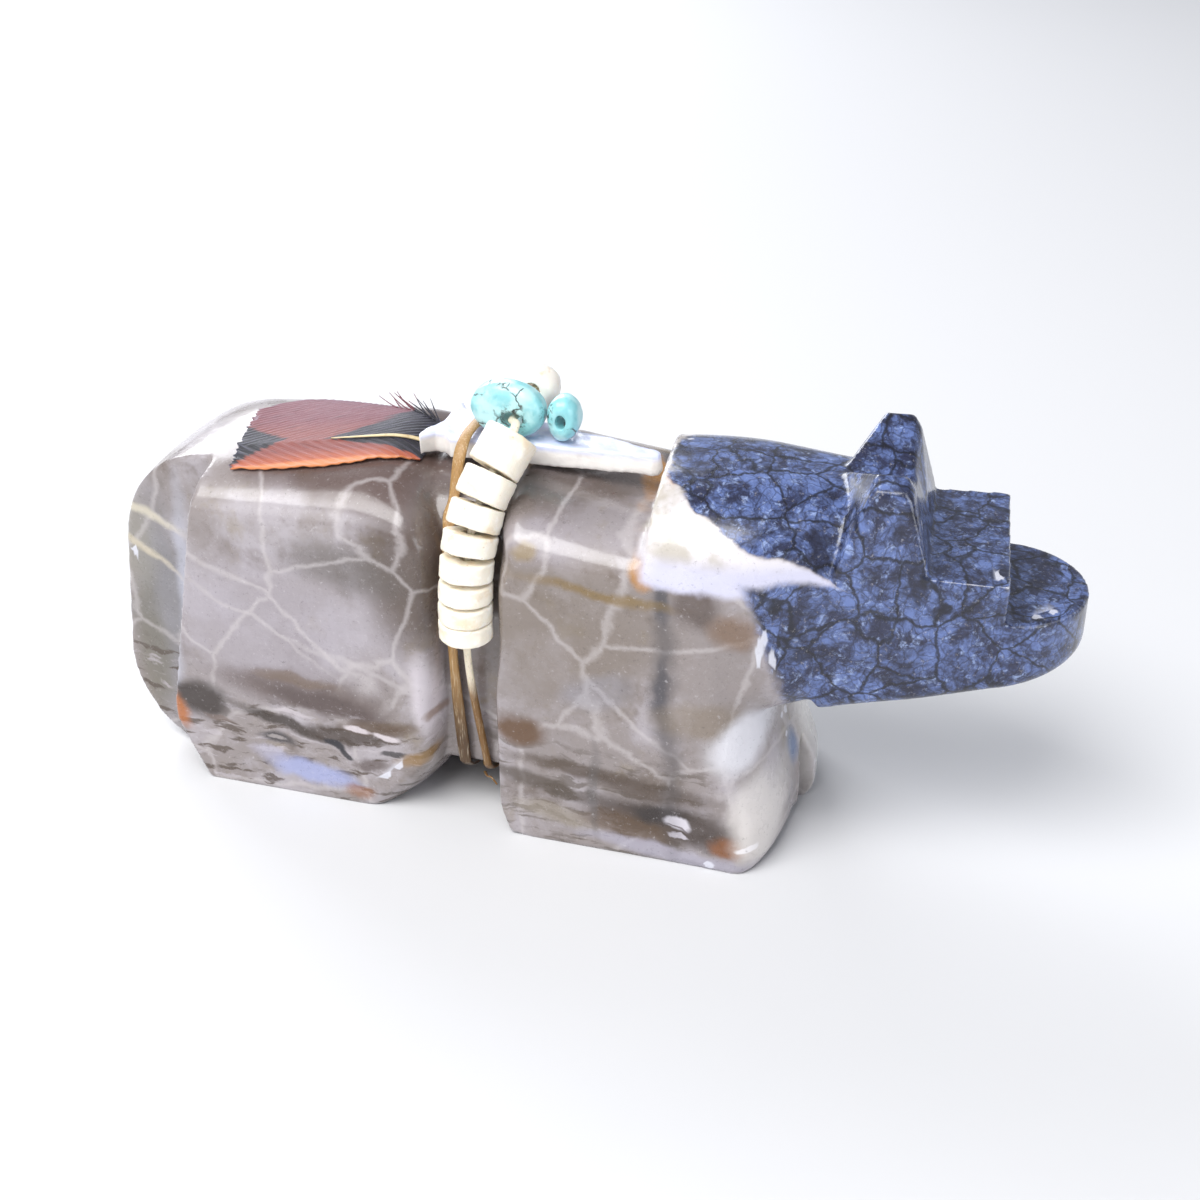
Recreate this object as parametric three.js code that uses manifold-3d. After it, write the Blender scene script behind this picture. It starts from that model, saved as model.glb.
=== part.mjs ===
// A wolf carved from one polished stone, with an offering bundle tied on its back:
// a shell arrowhead, a feather, turquoise and white beads, and a strand of shell discs.
// Millimetres, +X towards the head, +Y to the animal's left, +Z up.
import * as THREE from "three";
import { ConvexGeometry } from "three/addons/geometries/ConvexGeometry.js";
import { mergeVertices } from "three/addons/utils/BufferGeometryUtils.js";
import Module from "manifold-3d";

const wasm = await Module();
wasm.setup();

// The middle of the whole object's box as it is drawn here, moved onto the origin at the end
const MIDDLE_X = -0.24;
const MIDDLE_Y = -0.74;

// The stone's main sizes
const HALF_WIDTH_HIND = 9.0;
const HALF_WIDTH_FORE = 9.6;
const HALF_WIDTH_WAIST = 6.6;
const ROUNDING_POWER = 2.5;
const SOLE_SINK = 0.5;

const HIND_FRONT_X = -8.0;
const TAIL_BACK_X = -34.8;
const TAIL_HALF_FRONT = { near: 5.6, far: 6.7 };
const TAIL_HALF_BACK = { near: 4.6, far: 5.1 };
const FORE_BACK_X = -3.75;
const CHEST_X = 17.4;
const NEAR_FOOT_SETBACK = 0.9;
const FAR_CHEST_CURVE = 0.02;
const MID_BACK_Z = 26.15;
const MID_BACK_DROP = 1.45;
const WAIST_TOP_Z = 25.5;
const WAIST_BOTTOM_Z = 2.7;
const WAIST_FLANK = { low: 4.8, high: 20.6 };

const HEAD_TURN = THREE.MathUtils.degToRad(5.5);
const HEAD_PIVOT_X = 12;
const NECK_START_X = 6.1;
const NECK_SIDE_TOP_Z = 20;
const JAW_SLOPE = 0.2;
const JAW_START_X = 17.3;
const JAW_START_Z = 12.3;
const FOREHEAD_Z = 23.2;
const STEP_X = 29.4;
const MUZZLE_TOP_Z = 19.9;
const NOSE_X = 35.05;
const MUZZLE_HALF_WIDTH = 6.15;
const EAR_TIP_Z = 29.5;

// The bundle's main sizes
const ARROW_THICKNESS = 1.5;
const ARROW_BOTTOM_Z = 26.15;
const HEISHI_RADIUS = 1.87;
const HEISHI_HOLE = 0.6;
const HEISHI_EDGE = 0.16;
const HEISHI_CLEARANCE = 0.05;
const STRAND_TOP = [-3.95, -5.4, 28.35];
const THREAD_RADIUS = 0.3;
const THREAD_CLEARANCE = 0.15;

// A solid for cutting and joining, from a closed geometry
function solid(geometry) {
  const bare = geometry.clone();
  bare.deleteAttribute("normal");
  bare.deleteAttribute("uv");
  const merged = mergeVertices(bare, 1e-4);
  return new wasm.Manifold(
    new wasm.Mesh({
      numProp: 3,
      vertProperties: new Float32Array(merged.attributes.position.array),
      triVerts: new Uint32Array(merged.index.array),
    }),
  );
}

// A geometry from a cut or joined solid
function geometryOf(shape) {
  const mesh = shape.getMesh();
  const geometry = new THREE.BufferGeometry();
  const positions = new Float32Array(mesh.numVert * 3);
  for (let i = 0; i < mesh.numVert; i++)
    for (let k = 0; k < 3; k++)
      positions[3 * i + k] = mesh.vertProperties[mesh.numProp * i + k];
  geometry.setAttribute("position", new THREE.BufferAttribute(positions, 3));
  geometry.setIndex(new THREE.BufferAttribute(new Uint32Array(mesh.triVerts), 1));
  const flat = geometry.toNonIndexed();
  flat.computeVertexNormals();
  return flat;
}

// Six times the signed volume, to tell which way a closed skin faces
function facing(points, faces) {
  let sum = 0;
  for (const [a, b, c] of faces)
    sum += points[a].dot(points[b].clone().cross(points[c]));
  return sum;
}

// A closed skin over a stack of rings that all have the same number of points
function stack(rings) {
  const count = rings[0].length;
  const points = rings.flat();
  const faces = [];
  for (let r = 0; r + 1 < rings.length; r++)
    for (let i = 0; i < count; i++) {
      const a = r * count + i;
      const b = r * count + ((i + 1) % count);
      faces.push([a, b, b + count]);
      faces.push([a, b + count, a + count]);
    }
  const last = (rings.length - 1) * count;
  for (const [start, sign] of [[0, 1], [last, -1]]) {
    const flat = rings[start / count];
    const middle = flat.reduce((sum, p) => sum.add(p), new THREE.Vector3()).divideScalar(count);
    points.push(middle);
    const centre = points.length - 1;
    for (let i = 0; i < count; i++) {
      const a = start + i;
      const b = start + ((i + 1) % count);
      faces.push(sign > 0 ? [b, a, centre] : [a, b, centre]);
    }
  }
  const outward = facing(points, faces) > 0;
  const geometry = new THREE.BufferGeometry().setFromPoints(points);
  geometry.setIndex(faces.flatMap(([a, b, c]) => (outward ? [a, b, c] : [a, c, b])));
  return geometry;
}

// A straight-sided prism between two heights along one axis, from a closed outline of pairs
function prism(outline, axis, from, to) {
  const place = {
    x: (u, v, t) => new THREE.Vector3(t, u, v),
    y: (u, v, t) => new THREE.Vector3(u, t, v),
    z: (u, v, t) => new THREE.Vector3(u, v, t),
  }[axis];
  return stack([from, to].map((t) => outline.map(([u, v]) => place(u, v, t))));
}

// The points of an outline with rounded corners, each corner given as [u, v, radius]
function roundedOutline(corners, longest = 2.6, turnStep = 0.2) {
  const arcs = corners.map(([u, v, radius], i) => {
    const here = new THREE.Vector2(u, v);
    const before = new THREE.Vector2(...corners.at(i - 1).slice(0, 2));
    const after = new THREE.Vector2(...corners[(i + 1) % corners.length].slice(0, 2));
    const inwards = here.clone().sub(before).normalize();
    const outwards = after.clone().sub(here).normalize();
    const turn = Math.asin(inwards.cross(outwards));
    const reach = radius * Math.tan(Math.abs(turn) / 2);
    const side = new THREE.Vector2(inwards.y, -inwards.x).multiplyScalar(Math.sign(turn));
    const start = here.clone().addScaledVector(inwards, -reach);
    const centre = start.clone().addScaledVector(side, -radius);
    const steps = Math.max(1, Math.ceil(Math.abs(turn) / turnStep));
    return Array.from({ length: steps + 1 }, (_, k) => {
      const angle = (turn * k) / steps;
      const out = side.clone().rotateAround(new THREE.Vector2(), angle);
      return centre.clone().addScaledVector(out, radius);
    });
  });
  const points = [];
  arcs.forEach((arc, i) => {
    points.push(...arc);
    const next = arcs[(i + 1) % arcs.length];
    const a = arc.at(-1);
    const b = next[0];
    const pieces = Math.ceil(a.distanceTo(b) / longest);
    for (let k = 1; k < pieces; k++) points.push(a.clone().lerp(b, k / pieces));
  });
  return points.map((p) => [p.x, p.y]);
}

// How far a rounded edge has come in (0 to 1) and out (0 to 1), at a step round its quarter turn
function edgeRound(step, steps) {
  const angle = (step / steps) * (Math.PI / 2);
  const power = 2 / ROUNDING_POWER;
  return { out: Math.sin(angle) ** power, inset: 1 - Math.cos(angle) ** power };
}

// Draws a value that lies outside a range in to its end, but for a small rest
function drawIn(value, [low, high]) {
  const rest = 0.12;
  const nearest = Math.min(Math.max(value, low), high);
  return nearest + rest * (value - nearest);
}

// Falls smoothly from 1 to 0 between two values
function smoothFall(value, from, to) {
  return 1 - THREE.MathUtils.smoothstep(value, from, to);
}

// A block cut to a side outline, whose edges are rounded towards the flat of both flanks.
// The flat gives, for a height, the range of X it spans, and the range of Z.
function sideBlock(corners, halfWidthAt, flat, steps = 7) {
  const outline = roundedOutline(corners);
  const rings = [];
  for (let step = -steps; step <= steps; step++) {
    const { out, inset } = edgeRound(Math.abs(step), steps);
    rings.push(
      outline.map(([x, z]) => {
        const flankX = x + (drawIn(x, flat.x(z)) - x) * inset;
        const flankZ = z + (drawIn(z, flat.z) - z) * inset;
        return new THREE.Vector3(flankX, Math.sign(step) * out * halfWidthAt(flankX), flankZ);
      }),
    );
  }
  return stack(rings);
}

// Haunches and tail as one block, before the flanks of the tail are cut back
function hindBlock() {
  return sideBlock(
    [
      [HIND_FRONT_X, -SOLE_SINK, 6.0],
      [TAIL_BACK_X - 0.5, -SOLE_SINK, 8],
      [TAIL_BACK_X - 0.3, 10.5, 14],
      [TAIL_BACK_X + 1.2, 25.1, 9.4],
      [HIND_FRONT_X, 26.8, 6.5],
    ],
    () => HALF_WIDTH_HIND,
    { x: (z) => [-29.3, HIND_FRONT_X - 2.2 - 4.2 * smoothFall(z, 0, 5)], z: [0.15, 21.3] },
  );
}

// What is cut away beside the tail, so that it stands out as a slab behind the haunches
function tailFlank(side, end) {
  const behindHaunch = roundedOutline(
    [
      [-25.3, 27.6, 0.1],
      [-29.35, 5.2, 4.0],
      [-26.3, -1.4, 0.1],
      [-40, -1.4, 0.1],
      [-40, 27.6, 0.1],
    ],
    30,
  );
  const besideTail = [
    [-40, TAIL_HALF_BACK[end] - 0.6],
    [TAIL_BACK_X, TAIL_HALF_BACK[end]],
    [-24, TAIL_HALF_FRONT[end]],
    [-24, 12],
    [-40, 12],
  ].map(([x, y]) => [x, side * y]);
  return solid(prism(behindHaunch, "y", -14, 14)).intersect(solid(prism(besideTail, "z", -5, 40)));
}

// The waist between the two blocks, set back all round: the groove that holds the ties
function waist() {
  return sideBlock(
    [
      [-10.5, WAIST_BOTTOM_Z, 0.3],
      [-2.5, WAIST_BOTTOM_Z, 0.3],
      [-2.5, WAIST_TOP_Z, 0.3],
      [-10.5, WAIST_TOP_Z, 0.3],
    ],
    () => HALF_WIDTH_WAIST,
    { x: () => [-12, 0], z: [WAIST_FLANK.low, WAIST_FLANK.high] },
    6,
  );
}

// Shoulders, forelegs and the middle of the back; the near forefoot is set a little back
function foreBlock() {
  const block = sideBlock(
    [
      [FORE_BACK_X, -SOLE_SINK, 2.8],
      [CHEST_X, -SOLE_SINK, 2.2],
      [CHEST_X, 3.6, 3],
      [15.5, 9, 3],
      [13, MID_BACK_Z - 1.7 * MID_BACK_DROP, 6],
      [FORE_BACK_X, MID_BACK_Z, 1.7],
    ],
    (x) => HALF_WIDTH_FORE * (1 - 0.0012 * (CHEST_X - x)),
    {
      x: (z) => [
        FORE_BACK_X + 2.6 + 0.7 * smoothFall(z, 0, 3) - 0.8 * smoothFall(z, 11, 16) -
          1.5 * smoothFall(z, 19, 24),
        10.4 + 3.9 * smoothFall(z, 1, 9),
      ],
      z: [0.15, 21],
    },
  );
  const place = block.attributes.position;
  for (let i = 0; i < place.count; i++) {
    const [x, y, z] = [place.getX(i), place.getY(i), place.getZ(i)];
    const near = smoothFall(y, -1.5, 0.5) * smoothFall(z, 4, 9);
    const far = FAR_CHEST_CURVE * Math.max(y - 1, 0) ** 2;
    place.setX(i, x - (NEAR_FOOT_SETBACK * near + far) * smoothFall(-x, -14, -8));
  }
  return block;
}

// Everything from the neck forwards is turned a little to the animal's left
const turnHead = new THREE.Matrix4()
  .makeTranslation(HEAD_PIVOT_X, 0, 0)
  .multiply(new THREE.Matrix4().makeRotationZ(HEAD_TURN))
  .multiply(new THREE.Matrix4().makeTranslation(-HEAD_PIVOT_X, 0, 0));

// Half-width of the neck and head and height of its crown, along the head
const headHalfWidth = new THREE.SplineCurve(
  [[5, 8.65], [9, 9.0], [11, 9.05], [13, 8.75], [15.5, 7.9], [18.3, 7.05], [21, 6.95], [24.5, 6.87], [29.4, 6.15], [34, 5.4]].map(
    ([x, w]) => new THREE.Vector2(x, w),
  ),
).getSpacedPoints(120);
const crownHeight = new THREE.SplineCurve(
  [[5, 27.4], [8, 27.6], [12, 27.6], [16, 27.4], [20, 27.1], [25, 26.7]].map(
    ([x, z]) => new THREE.Vector2(x, z),
  ),
).getSpacedPoints(80);

function along(curve, x) {
  const i = Math.max(1, curve.findIndex((p) => p.x >= x));
  const [a, b] = [curve[i - 1], curve[i]];
  return a.y + ((b.y - a.y) * (x - a.x)) / (b.x - a.x);
}

function jawHeight(x) {
  return JAW_START_Z + JAW_SLOPE * (x - JAW_START_X);
}

// The neck, a little proud of the back: its rear end is the step behind the shoulders
function neck() {
  const quarter = 7;
  const lowRound = 3;
  const rings = [];
  for (let x = NECK_START_X; x <= 24.2; x += 1.5) {
    const w = along(headHalfWidth, x);
    const crown = along(crownHeight, x);
    const low = Math.max(jawHeight(x), 9.6);
    const ring = [];
    for (let step = -quarter; step <= quarter; step++) {
      const { out, inset } = edgeRound(Math.abs(step), quarter);
      const z = crown - (crown - NECK_SIDE_TOP_Z) * inset;
      ring.push([Math.sign(step) * out * w, z]);
    }
    for (const side of [1, -1])
      for (let step = 0; step <= 4; step++) {
        const angle = ((side > 0 ? step : 4 - step) / 4) * (Math.PI / 2);
        ring.push([
          side * (w - lowRound + lowRound * Math.cos(angle)),
          low + lowRound - lowRound * Math.sin(angle),
        ]);
      }
    rings.push(
      ring.map(([y, z]) => {
        const lean = x === NECK_START_X ? 0.12 * (z - 26) : 0;
        return new THREE.Vector3(x + lean, y, z);
      }),
    );
  }
  return stack(rings);
}

// The plan of the muzzle is a D, whose round end is the nose
function headPlan(startX, halfWidthAt) {
  const near = [];
  for (let x = startX; x < STEP_X; x += 2) near.push([x, halfWidthAt(x)]);
  const steps = 11;
  for (let k = 0; k <= steps; k++) {
    const angle = (k / steps) * (Math.PI / 2);
    const power = 2 / 1.95;
    near.push([
      STEP_X + (NOSE_X - STEP_X) * Math.sin(angle) ** power,
      MUZZLE_HALF_WIDTH * Math.cos(angle) ** power,
    ]);
  }
  near[near.length - 1][1] = 0;
  return [...near, ...near.slice(0, -1).reverse().map(([x, y]) => [x, -y])];
}

// Lower half of the head, from the jaw up to the flat top of the muzzle
function lowerHead() {
  const plan = headPlan(17.4, (x) => Math.min(along(headHalfWidth, x), 7.05));
  const middleX = 22;
  const jawRound = 1.3;
  const rings = [];
  for (let step = 5; step >= 0; step--) {
    const { inset, out } = edgeRound(step, 5);
    rings.push(
      plan.map(([x, y]) => {
        const size = 1 - (jawRound * inset) / Math.max(6, Math.hypot(x - middleX, y));
        const z = jawHeight(x) + jawRound * (1 - out);
        return new THREE.Vector3(middleX + (x - middleX) * size, y * size, z);
      }),
    );
  }
  rings.push(plan.map(([x, y]) => new THREE.Vector3(x, y, MUZZLE_TOP_Z)));
  return stack(rings);
}

// The forehead, a flat-topped block in front of the ears that widens towards the step
function forehead() {
  const flare = 0.95;
  const rings = [];
  for (let level = -1; level <= 4; level++) {
    const rise = Math.max(level, 0) / 4;
    const z = level < 0 ? 18 : MUZZLE_TOP_Z + (FOREHEAD_Z - MUZZLE_TOP_Z) * rise;
    const near = [];
    for (let x = 19; x < STEP_X + 0.3; x += 1.5) {
      const out = flare * rise * THREE.MathUtils.smoothstep(x, 23, STEP_X + 0.5);
      const tuck = level < 0 ? 0.4 : 0;
      near.push(new THREE.Vector3(x, along(headHalfWidth, x) - tuck + out, z));
    }
    rings.push([...near, ...near.map(({ x, y }) => new THREE.Vector3(x, -y, z)).reverse()]);
  }
  return stack(rings);
}

// One ear with the cheek below it, filed flat on its outer, inner, front and back faces
function ear(side) {
  return new ConvexGeometry(
    [
      [18.0, 0, 27.15],
      [22.7, 0, 26.85],
      [24.2, 0, FOREHEAD_Z],
      [19, 0, 20],
      [24.2, 0, 20],
      [20.0, 4.9, 28.75],
      [20.5, 5.1, EAR_TIP_Z],
      [22.4, 5.1, EAR_TIP_Z],
      [22.95, 4.9, 28.6],
      [20.1, 6.2, 28.3],
      [20.5, 6.3, 28.75],
      [22.4, 6.3, 28.75],
      [22.95, 6.2, 28.2],
      [18.3, 7.15, 23.3],
      [18.05, 7.3, 21.6],
      [18.5, 7.3, 20.8],
      [19.4, 7.25, 20.6],
      [21.6, 7.1, 20.6],
      [24.2, 6.95, 21.4],
      [24.35, 6.9, FOREHEAD_Z],
    ].map(([x, y, z]) => new THREE.Vector3(x, side * y, z)),
  );
}

// The cleft between a pair of legs
function cleft(fromX, toX, topZ) {
  const outline = [
    [-1.0, -2],
    [1.3, -2],
    [1.1, topZ * 0.6],
    [0.2, topZ],
    [-0.8, topZ * 0.6],
  ];
  return prism(outline, "x", fromX, toX);
}

function turned(geometry) {
  return geometry.clone().applyMatrix4(turnHead);
}

function stone() {
  const aboveForehead = prism(
    [
      [22.35, 28.5],
      [24.35, FOREHEAD_Z],
      [40, FOREHEAD_Z],
      [40, 40],
      [22.35, 40],
    ],
    "y",
    -14,
    14,
  );
  const belowFloor = prism([[-50, -20], [50, -20], [50, 20], [-50, 20]], "z", -10, 0);
  let shape = solid(hindBlock());
  shape = shape.subtract(tailFlank(1, "far")).subtract(tailFlank(-1, "near"));
  shape = shape.add(solid(waist())).add(solid(foreBlock()));
  let head = solid(turned(neck())).add(solid(turned(lowerHead())));
  head = head.subtract(solid(turned(aboveForehead)));
  head = head.add(solid(turned(forehead())));
  for (const side of [1, -1]) head = head.add(solid(turned(ear(side))));
  shape = shape.add(head);
  shape = shape.subtract(solid(cleft(-6, 24, 6.6))).subtract(solid(cleft(-27.5, -6, 5.2)));
  return geometryOf(shape.subtract(solid(belowFloor)));
}

// Arrowhead of ground shell: a long blade, two notches at its base
function arrowhead() {
  const half = [
    [16.6, 0.28],
    [16.2, 0.55],
    [8.0, 1.9],
    [2.2, 3.1],
    [1.4, 2.3],
    [0.8, 2.35],
    [0, 3.5],
    [-0.3, 2.9],
    [0.1, 0.9],
  ];
  const outline = [...half, ...half.slice().reverse().map(([x, y]) => [x, -y])];
  const shape = new THREE.Shape(outline.map(([x, y]) => new THREE.Vector2(x, y)));
  const bevel = 0.14;
  const geometry = new THREE.ExtrudeGeometry(shape, {
    depth: ARROW_THICKNESS - 2 * bevel,
    bevelEnabled: true,
    bevelThickness: bevel,
    bevelSize: bevel,
    bevelOffset: -bevel,
    bevelSegments: 1,
    curveSegments: 4,
  });
  return geometry.translate(0, 0, bevel);
}

// A disc or nugget with a drilled hole along its own Z axis
function bead(radius, length, hole, edge, steps = 3, segments = 20) {
  const half = length / 2;
  const across = Math.min(edge, radius - hole - 0.1);
  const profile = [new THREE.Vector2(hole, -half)];
  for (const end of [-1, 1])
    for (let k = 0; k <= steps; k++) {
      const angle = ((end < 0 ? k : steps - k) / steps) * (Math.PI / 2);
      profile.push(
        new THREE.Vector2(
          radius - across + across * Math.sin(angle),
          end * (half - edge + edge * Math.cos(angle)),
        ),
      );
    }
  profile.push(new THREE.Vector2(hole, half), new THREE.Vector2(hole, -half));
  return new THREE.LatheGeometry(profile, segments).rotateX(Math.PI / 2);
}

// A nugget whose hole was drilled off its middle
function nugget(radius, length, hole, edge, shift) {
  const geometry = bead(radius, length, hole, edge);
  const place = geometry.attributes.position;
  for (let i = 0; i < place.count; i++) {
    const [x, y] = [place.getX(i), place.getY(i)];
    const inward = (radius - Math.hypot(x, y)) / (radius - hole);
    place.setXY(i, x + shift[0] * inward, y + shift[1] * inward);
  }
  return geometry;
}

// The shell discs from the top of the back down the near flank: the length of each, how far
// its axis leans out from upright in degrees, and how far it leans back
const strand = [
  [2.75, 39, 0.37],
  [2.05, 33, 0.28],
  [1.65, 27, 0.18],
  [1.42, 18, 0.1],
  [1.4, 8, 0.06],
  [1.4, 2, 0.05],
  [1.4, -1, 0.03],
  [1.4, -1, 0.03],
].map(([length, lean, back]) => {
  const angle = THREE.MathUtils.degToRad(lean);
  const axis = new THREE.Vector3(-back, -Math.sin(angle), -Math.cos(angle)).normalize();
  return { length, axis, inner: new THREE.Vector3(1, 0, 0).cross(axis).normalize() };
});

// Neighbouring discs touch at the edge that faces the stone
strand.forEach((disc, i) => {
  if (i === 0) {
    disc.centre = new THREE.Vector3(...STRAND_TOP);
    return;
  }
  const above = strand[i - 1];
  disc.centre = above.centre
    .clone()
    .addScaledVector(above.axis, above.length / 2 + HEISHI_CLEARANCE)
    .addScaledVector(above.inner, HEISHI_RADIUS - HEISHI_EDGE)
    .addScaledVector(disc.axis, disc.length / 2)
    .addScaledVector(disc.inner, HEISHI_EDGE - HEISHI_RADIUS);
});

// Stands a piece whose axis is its own Z along a direction, at a place
function standAlong(mesh, place, direction) {
  mesh.position.copy(place);
  mesh.quaternion.setFromUnitVectors(new THREE.Vector3(0, 0, 1), direction.clone().normalize());
}

// A place beside the waist, at an angle round it from the top of the back
function besideWaist(x, side, degrees, gap = THREAD_RADIUS + THREAD_CLEARANCE) {
  const angle = THREE.MathUtils.degToRad(degrees);
  const power = 2 / ROUNDING_POWER;
  const y = side * (HALF_WIDTH_WAIST + gap) * Math.sin(angle) ** power;
  const rise = Math.abs(Math.cos(angle)) ** power;
  const z =
    degrees < 90
      ? WAIST_FLANK.high + (WAIST_TOP_Z + gap - WAIST_FLANK.high) * rise
      : WAIST_FLANK.low - (WAIST_FLANK.low - WAIST_BOTTOM_Z + gap) * rise;
  return [x, y, z];
}

// A stretch of thread that hugs the waist at one height along the body
function hugWaist(x, side, from, to) {
  const steps = Math.ceil(Math.abs(to - from) / 14);
  return Array.from({ length: steps + 1 }, (_, k) =>
    besideWaist(x, side, from + ((to - from) * k) / steps),
  );
}

function named(name, geometry, color, roughness, metalness = 0) {
  const mesh = new THREE.Mesh(
    geometry,
    new THREE.MeshStandardMaterial({ color, roughness, metalness }),
  );
  mesh.name = name;
  return mesh;
}

// A thread along a smooth route
function thread(route, radius, steps) {
  const curve = new THREE.CatmullRomCurve3(route.map((p) => new THREE.Vector3(...p)));
  const sides = 6;
  const section = new THREE.Shape(
    Array.from({ length: sides }, (_, k) => {
      const angle = (k / sides) * Math.PI * 2;
      return new THREE.Vector2(radius * Math.cos(angle), radius * Math.sin(angle));
    }),
  );
  return new THREE.ExtrudeGeometry(section, { steps, bevelEnabled: false, extrudePath: curve });
}

const wolf = new THREE.Group();
const stoneMesh = named("wolf_stone", stone(), 0x8d857b, 0.22);
wolf.add(stoneMesh);

const arrow = named("shell_arrowhead", arrowhead(), 0xe4e2ec, 0.3);
arrow.position.set(-10.55, 0.35, ARROW_BOTTOM_Z);
arrow.rotation.set(0, THREE.MathUtils.degToRad(-0.7), THREE.MathUtils.degToRad(-6.5), "ZYX");
wolf.add(arrow);

// The feather lies over the rump, a thin vane that follows the stone under it
function feather() {
  const outline = {
    near: [[-24.0, -6.9], [-20.1, -6.4], [-16, -5.4], [-11.8, -4.0]],
    far: [[-25.6, 1.9], [-22.5, 5.6], [-17, 4.9], [-11.8, 2.6]],
  };
  const near = new THREE.SplineCurve(outline.near.map((p) => new THREE.Vector2(...p)));
  const far = new THREE.SplineCurve(outline.far.map((p) => new THREE.Vector2(...p)));
  const rows = 10;
  const columns = 7;
  const lift = 0.2;
  const thickness = 0.45;
  const down = new THREE.Vector3(0, 0, -1);
  const caster = new THREE.Raycaster();
  stoneMesh.updateMatrixWorld(true);
  const rings = [];
  for (let r = 0; r <= rows; r++) {
    const a = near.getPoint(r / rows);
    const b = far.getPoint(r / rows);
    const under = [];
    const over = [];
    for (let c = 0; c <= columns; c++) {
      const p = a.clone().lerp(b, c / columns);
      caster.set(new THREE.Vector3(p.x, p.y, 60), down);
      const z = caster.intersectObject(stoneMesh)[0].point.z + lift;
      under.push(new THREE.Vector3(p.x, p.y, z));
      over.push(new THREE.Vector3(p.x, p.y, z + thickness));
    }
    rings.push([...under, ...over.reverse()]);
  }
  return stack(rings);
}
wolf.add(named("feather", feather(), 0x8a3a24, 0.8));

const turquoiseLarge = named(
  "turquoise_bead_large",
  nugget(2.0, 2.1, 0.6, 0.8, [0.4, -0.45]),
  0x8fd0d0,
  0.35,
);
turquoiseLarge.scale.set(1.36, 1, 1);
turquoiseLarge.position.set(-4.9, -1.45, 29.8);
turquoiseLarge.rotation.x = Math.PI / 2;
wolf.add(turquoiseLarge);

const turquoiseSmall = named("turquoise_bead_small", bead(1.6, 2.2, 0.5, 0.9), 0x8fd0d0, 0.35);
turquoiseSmall.scale.set(0.72, 1, 1);
turquoiseSmall.position.set(-1.0, -1.1, 29.45);
turquoiseSmall.rotation.x = Math.PI / 2;
wolf.add(turquoiseSmall);

const whiteBead = named("white_bead", bead(1.65, 2.9, 0.6, 1.4), 0xf4ecdf, 0.35);
standAlong(whiteBead, new THREE.Vector3(-4.15, 2.6, 29.85), new THREE.Vector3(0, 1, -0.15));
wolf.add(whiteBead);

strand.forEach(({ length, axis, centre }, i) => {
  const disc = bead(HEISHI_RADIUS, length, HEISHI_HOLE, HEISHI_EDGE, 1, 18);
  const mesh = named(`heishi_${i + 1}`, disc, 0xf3ead9, 0.45);
  standAlong(mesh, centre, axis);
  wolf.add(mesh);
});

const throughStrand = strand
  .flatMap(({ length, axis, centre }) =>
    [-0.3, 0.3].map((part) => centre.clone().addScaledVector(axis, part * length).toArray()),
  )
  .reverse();
const NEAR = -1;
const FAR = 1;
const beadThread = thread(
  [
    ...hugWaist(-5.3, NEAR, 158, 92),
    [-5.9, -7.4, 9.5],
    [-6.0, -8.1, 13],
    ...throughStrand,
    [-3.7, -3.5, 29.6],
    [-4.36, -2.3, 29.35],
    [-4.36, -0.6, 29.35],
    [-4.15, 1.3, 30.0],
    [-4.15, 3.9, 29.65],
    [-4.5, 5.0, 28.3],
    ...hugWaist(-5.6, FAR, 42, 178),
    ...hugWaist(-6.0, NEAR, 176, 164),
  ],
  THREAD_RADIUS,
  66,
);
wolf.add(named("sinew_bead_strand", beadThread, 0xd9c7a4, 0.6));

const wrapThread = thread(
  [
    ...hugWaist(-7.0, NEAR, 158, 92),
    [-7.35, -7.3, 11],
    [-7.55, -7.2, 16],
    ...hugWaist(-7.6, NEAR, 88, 46),
    [-7.5, -4.4, 27.1],
    [-7.45, -2.9, 28.15],
    [-7.45, 0, 28.15],
    [-7.45, 2.9, 28.15],
    [-7.45, 4.4, 27.1],
    ...hugWaist(-7.5, FAR, 46, 88),
    ...hugWaist(-7.1, FAR, 92, 178),
    ...hugWaist(-7.0, NEAR, 176, 172),
  ],
  THREAD_RADIUS,
  54,
);
wolf.add(named("sinew_wrap", wrapThread, 0x9a7a4c, 0.6));

for (const piece of wolf.children) {
  piece.position.x -= MIDDLE_X;
  piece.position.y -= MIDDLE_Y;
}

export default wolf;
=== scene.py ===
# A wolf carved from one polished stone, with an offering bundle tied on its back: a shell
# arrowhead, a feather, turquoise and white beads, and a strand of shell discs on sinew.
# Shapes are drawn in millimetres, +X towards the head, +Z up, and set down in metres.
import math

import bmesh
import bpy
import numpy as np
from mathutils import Matrix, Vector, noise
from mathutils.bvhtree import BVHTree


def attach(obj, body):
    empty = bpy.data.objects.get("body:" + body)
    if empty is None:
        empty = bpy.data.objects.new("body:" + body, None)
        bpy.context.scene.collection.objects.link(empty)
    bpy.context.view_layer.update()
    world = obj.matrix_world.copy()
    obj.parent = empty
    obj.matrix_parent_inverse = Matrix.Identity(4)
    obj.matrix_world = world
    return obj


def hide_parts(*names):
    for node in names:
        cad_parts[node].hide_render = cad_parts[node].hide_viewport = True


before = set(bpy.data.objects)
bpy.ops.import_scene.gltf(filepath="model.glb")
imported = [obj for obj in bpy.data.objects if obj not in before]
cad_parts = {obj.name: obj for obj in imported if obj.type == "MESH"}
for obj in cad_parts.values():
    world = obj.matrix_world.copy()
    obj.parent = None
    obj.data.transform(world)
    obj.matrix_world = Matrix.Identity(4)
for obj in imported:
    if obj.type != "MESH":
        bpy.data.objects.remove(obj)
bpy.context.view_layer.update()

MM = 0.001

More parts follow.
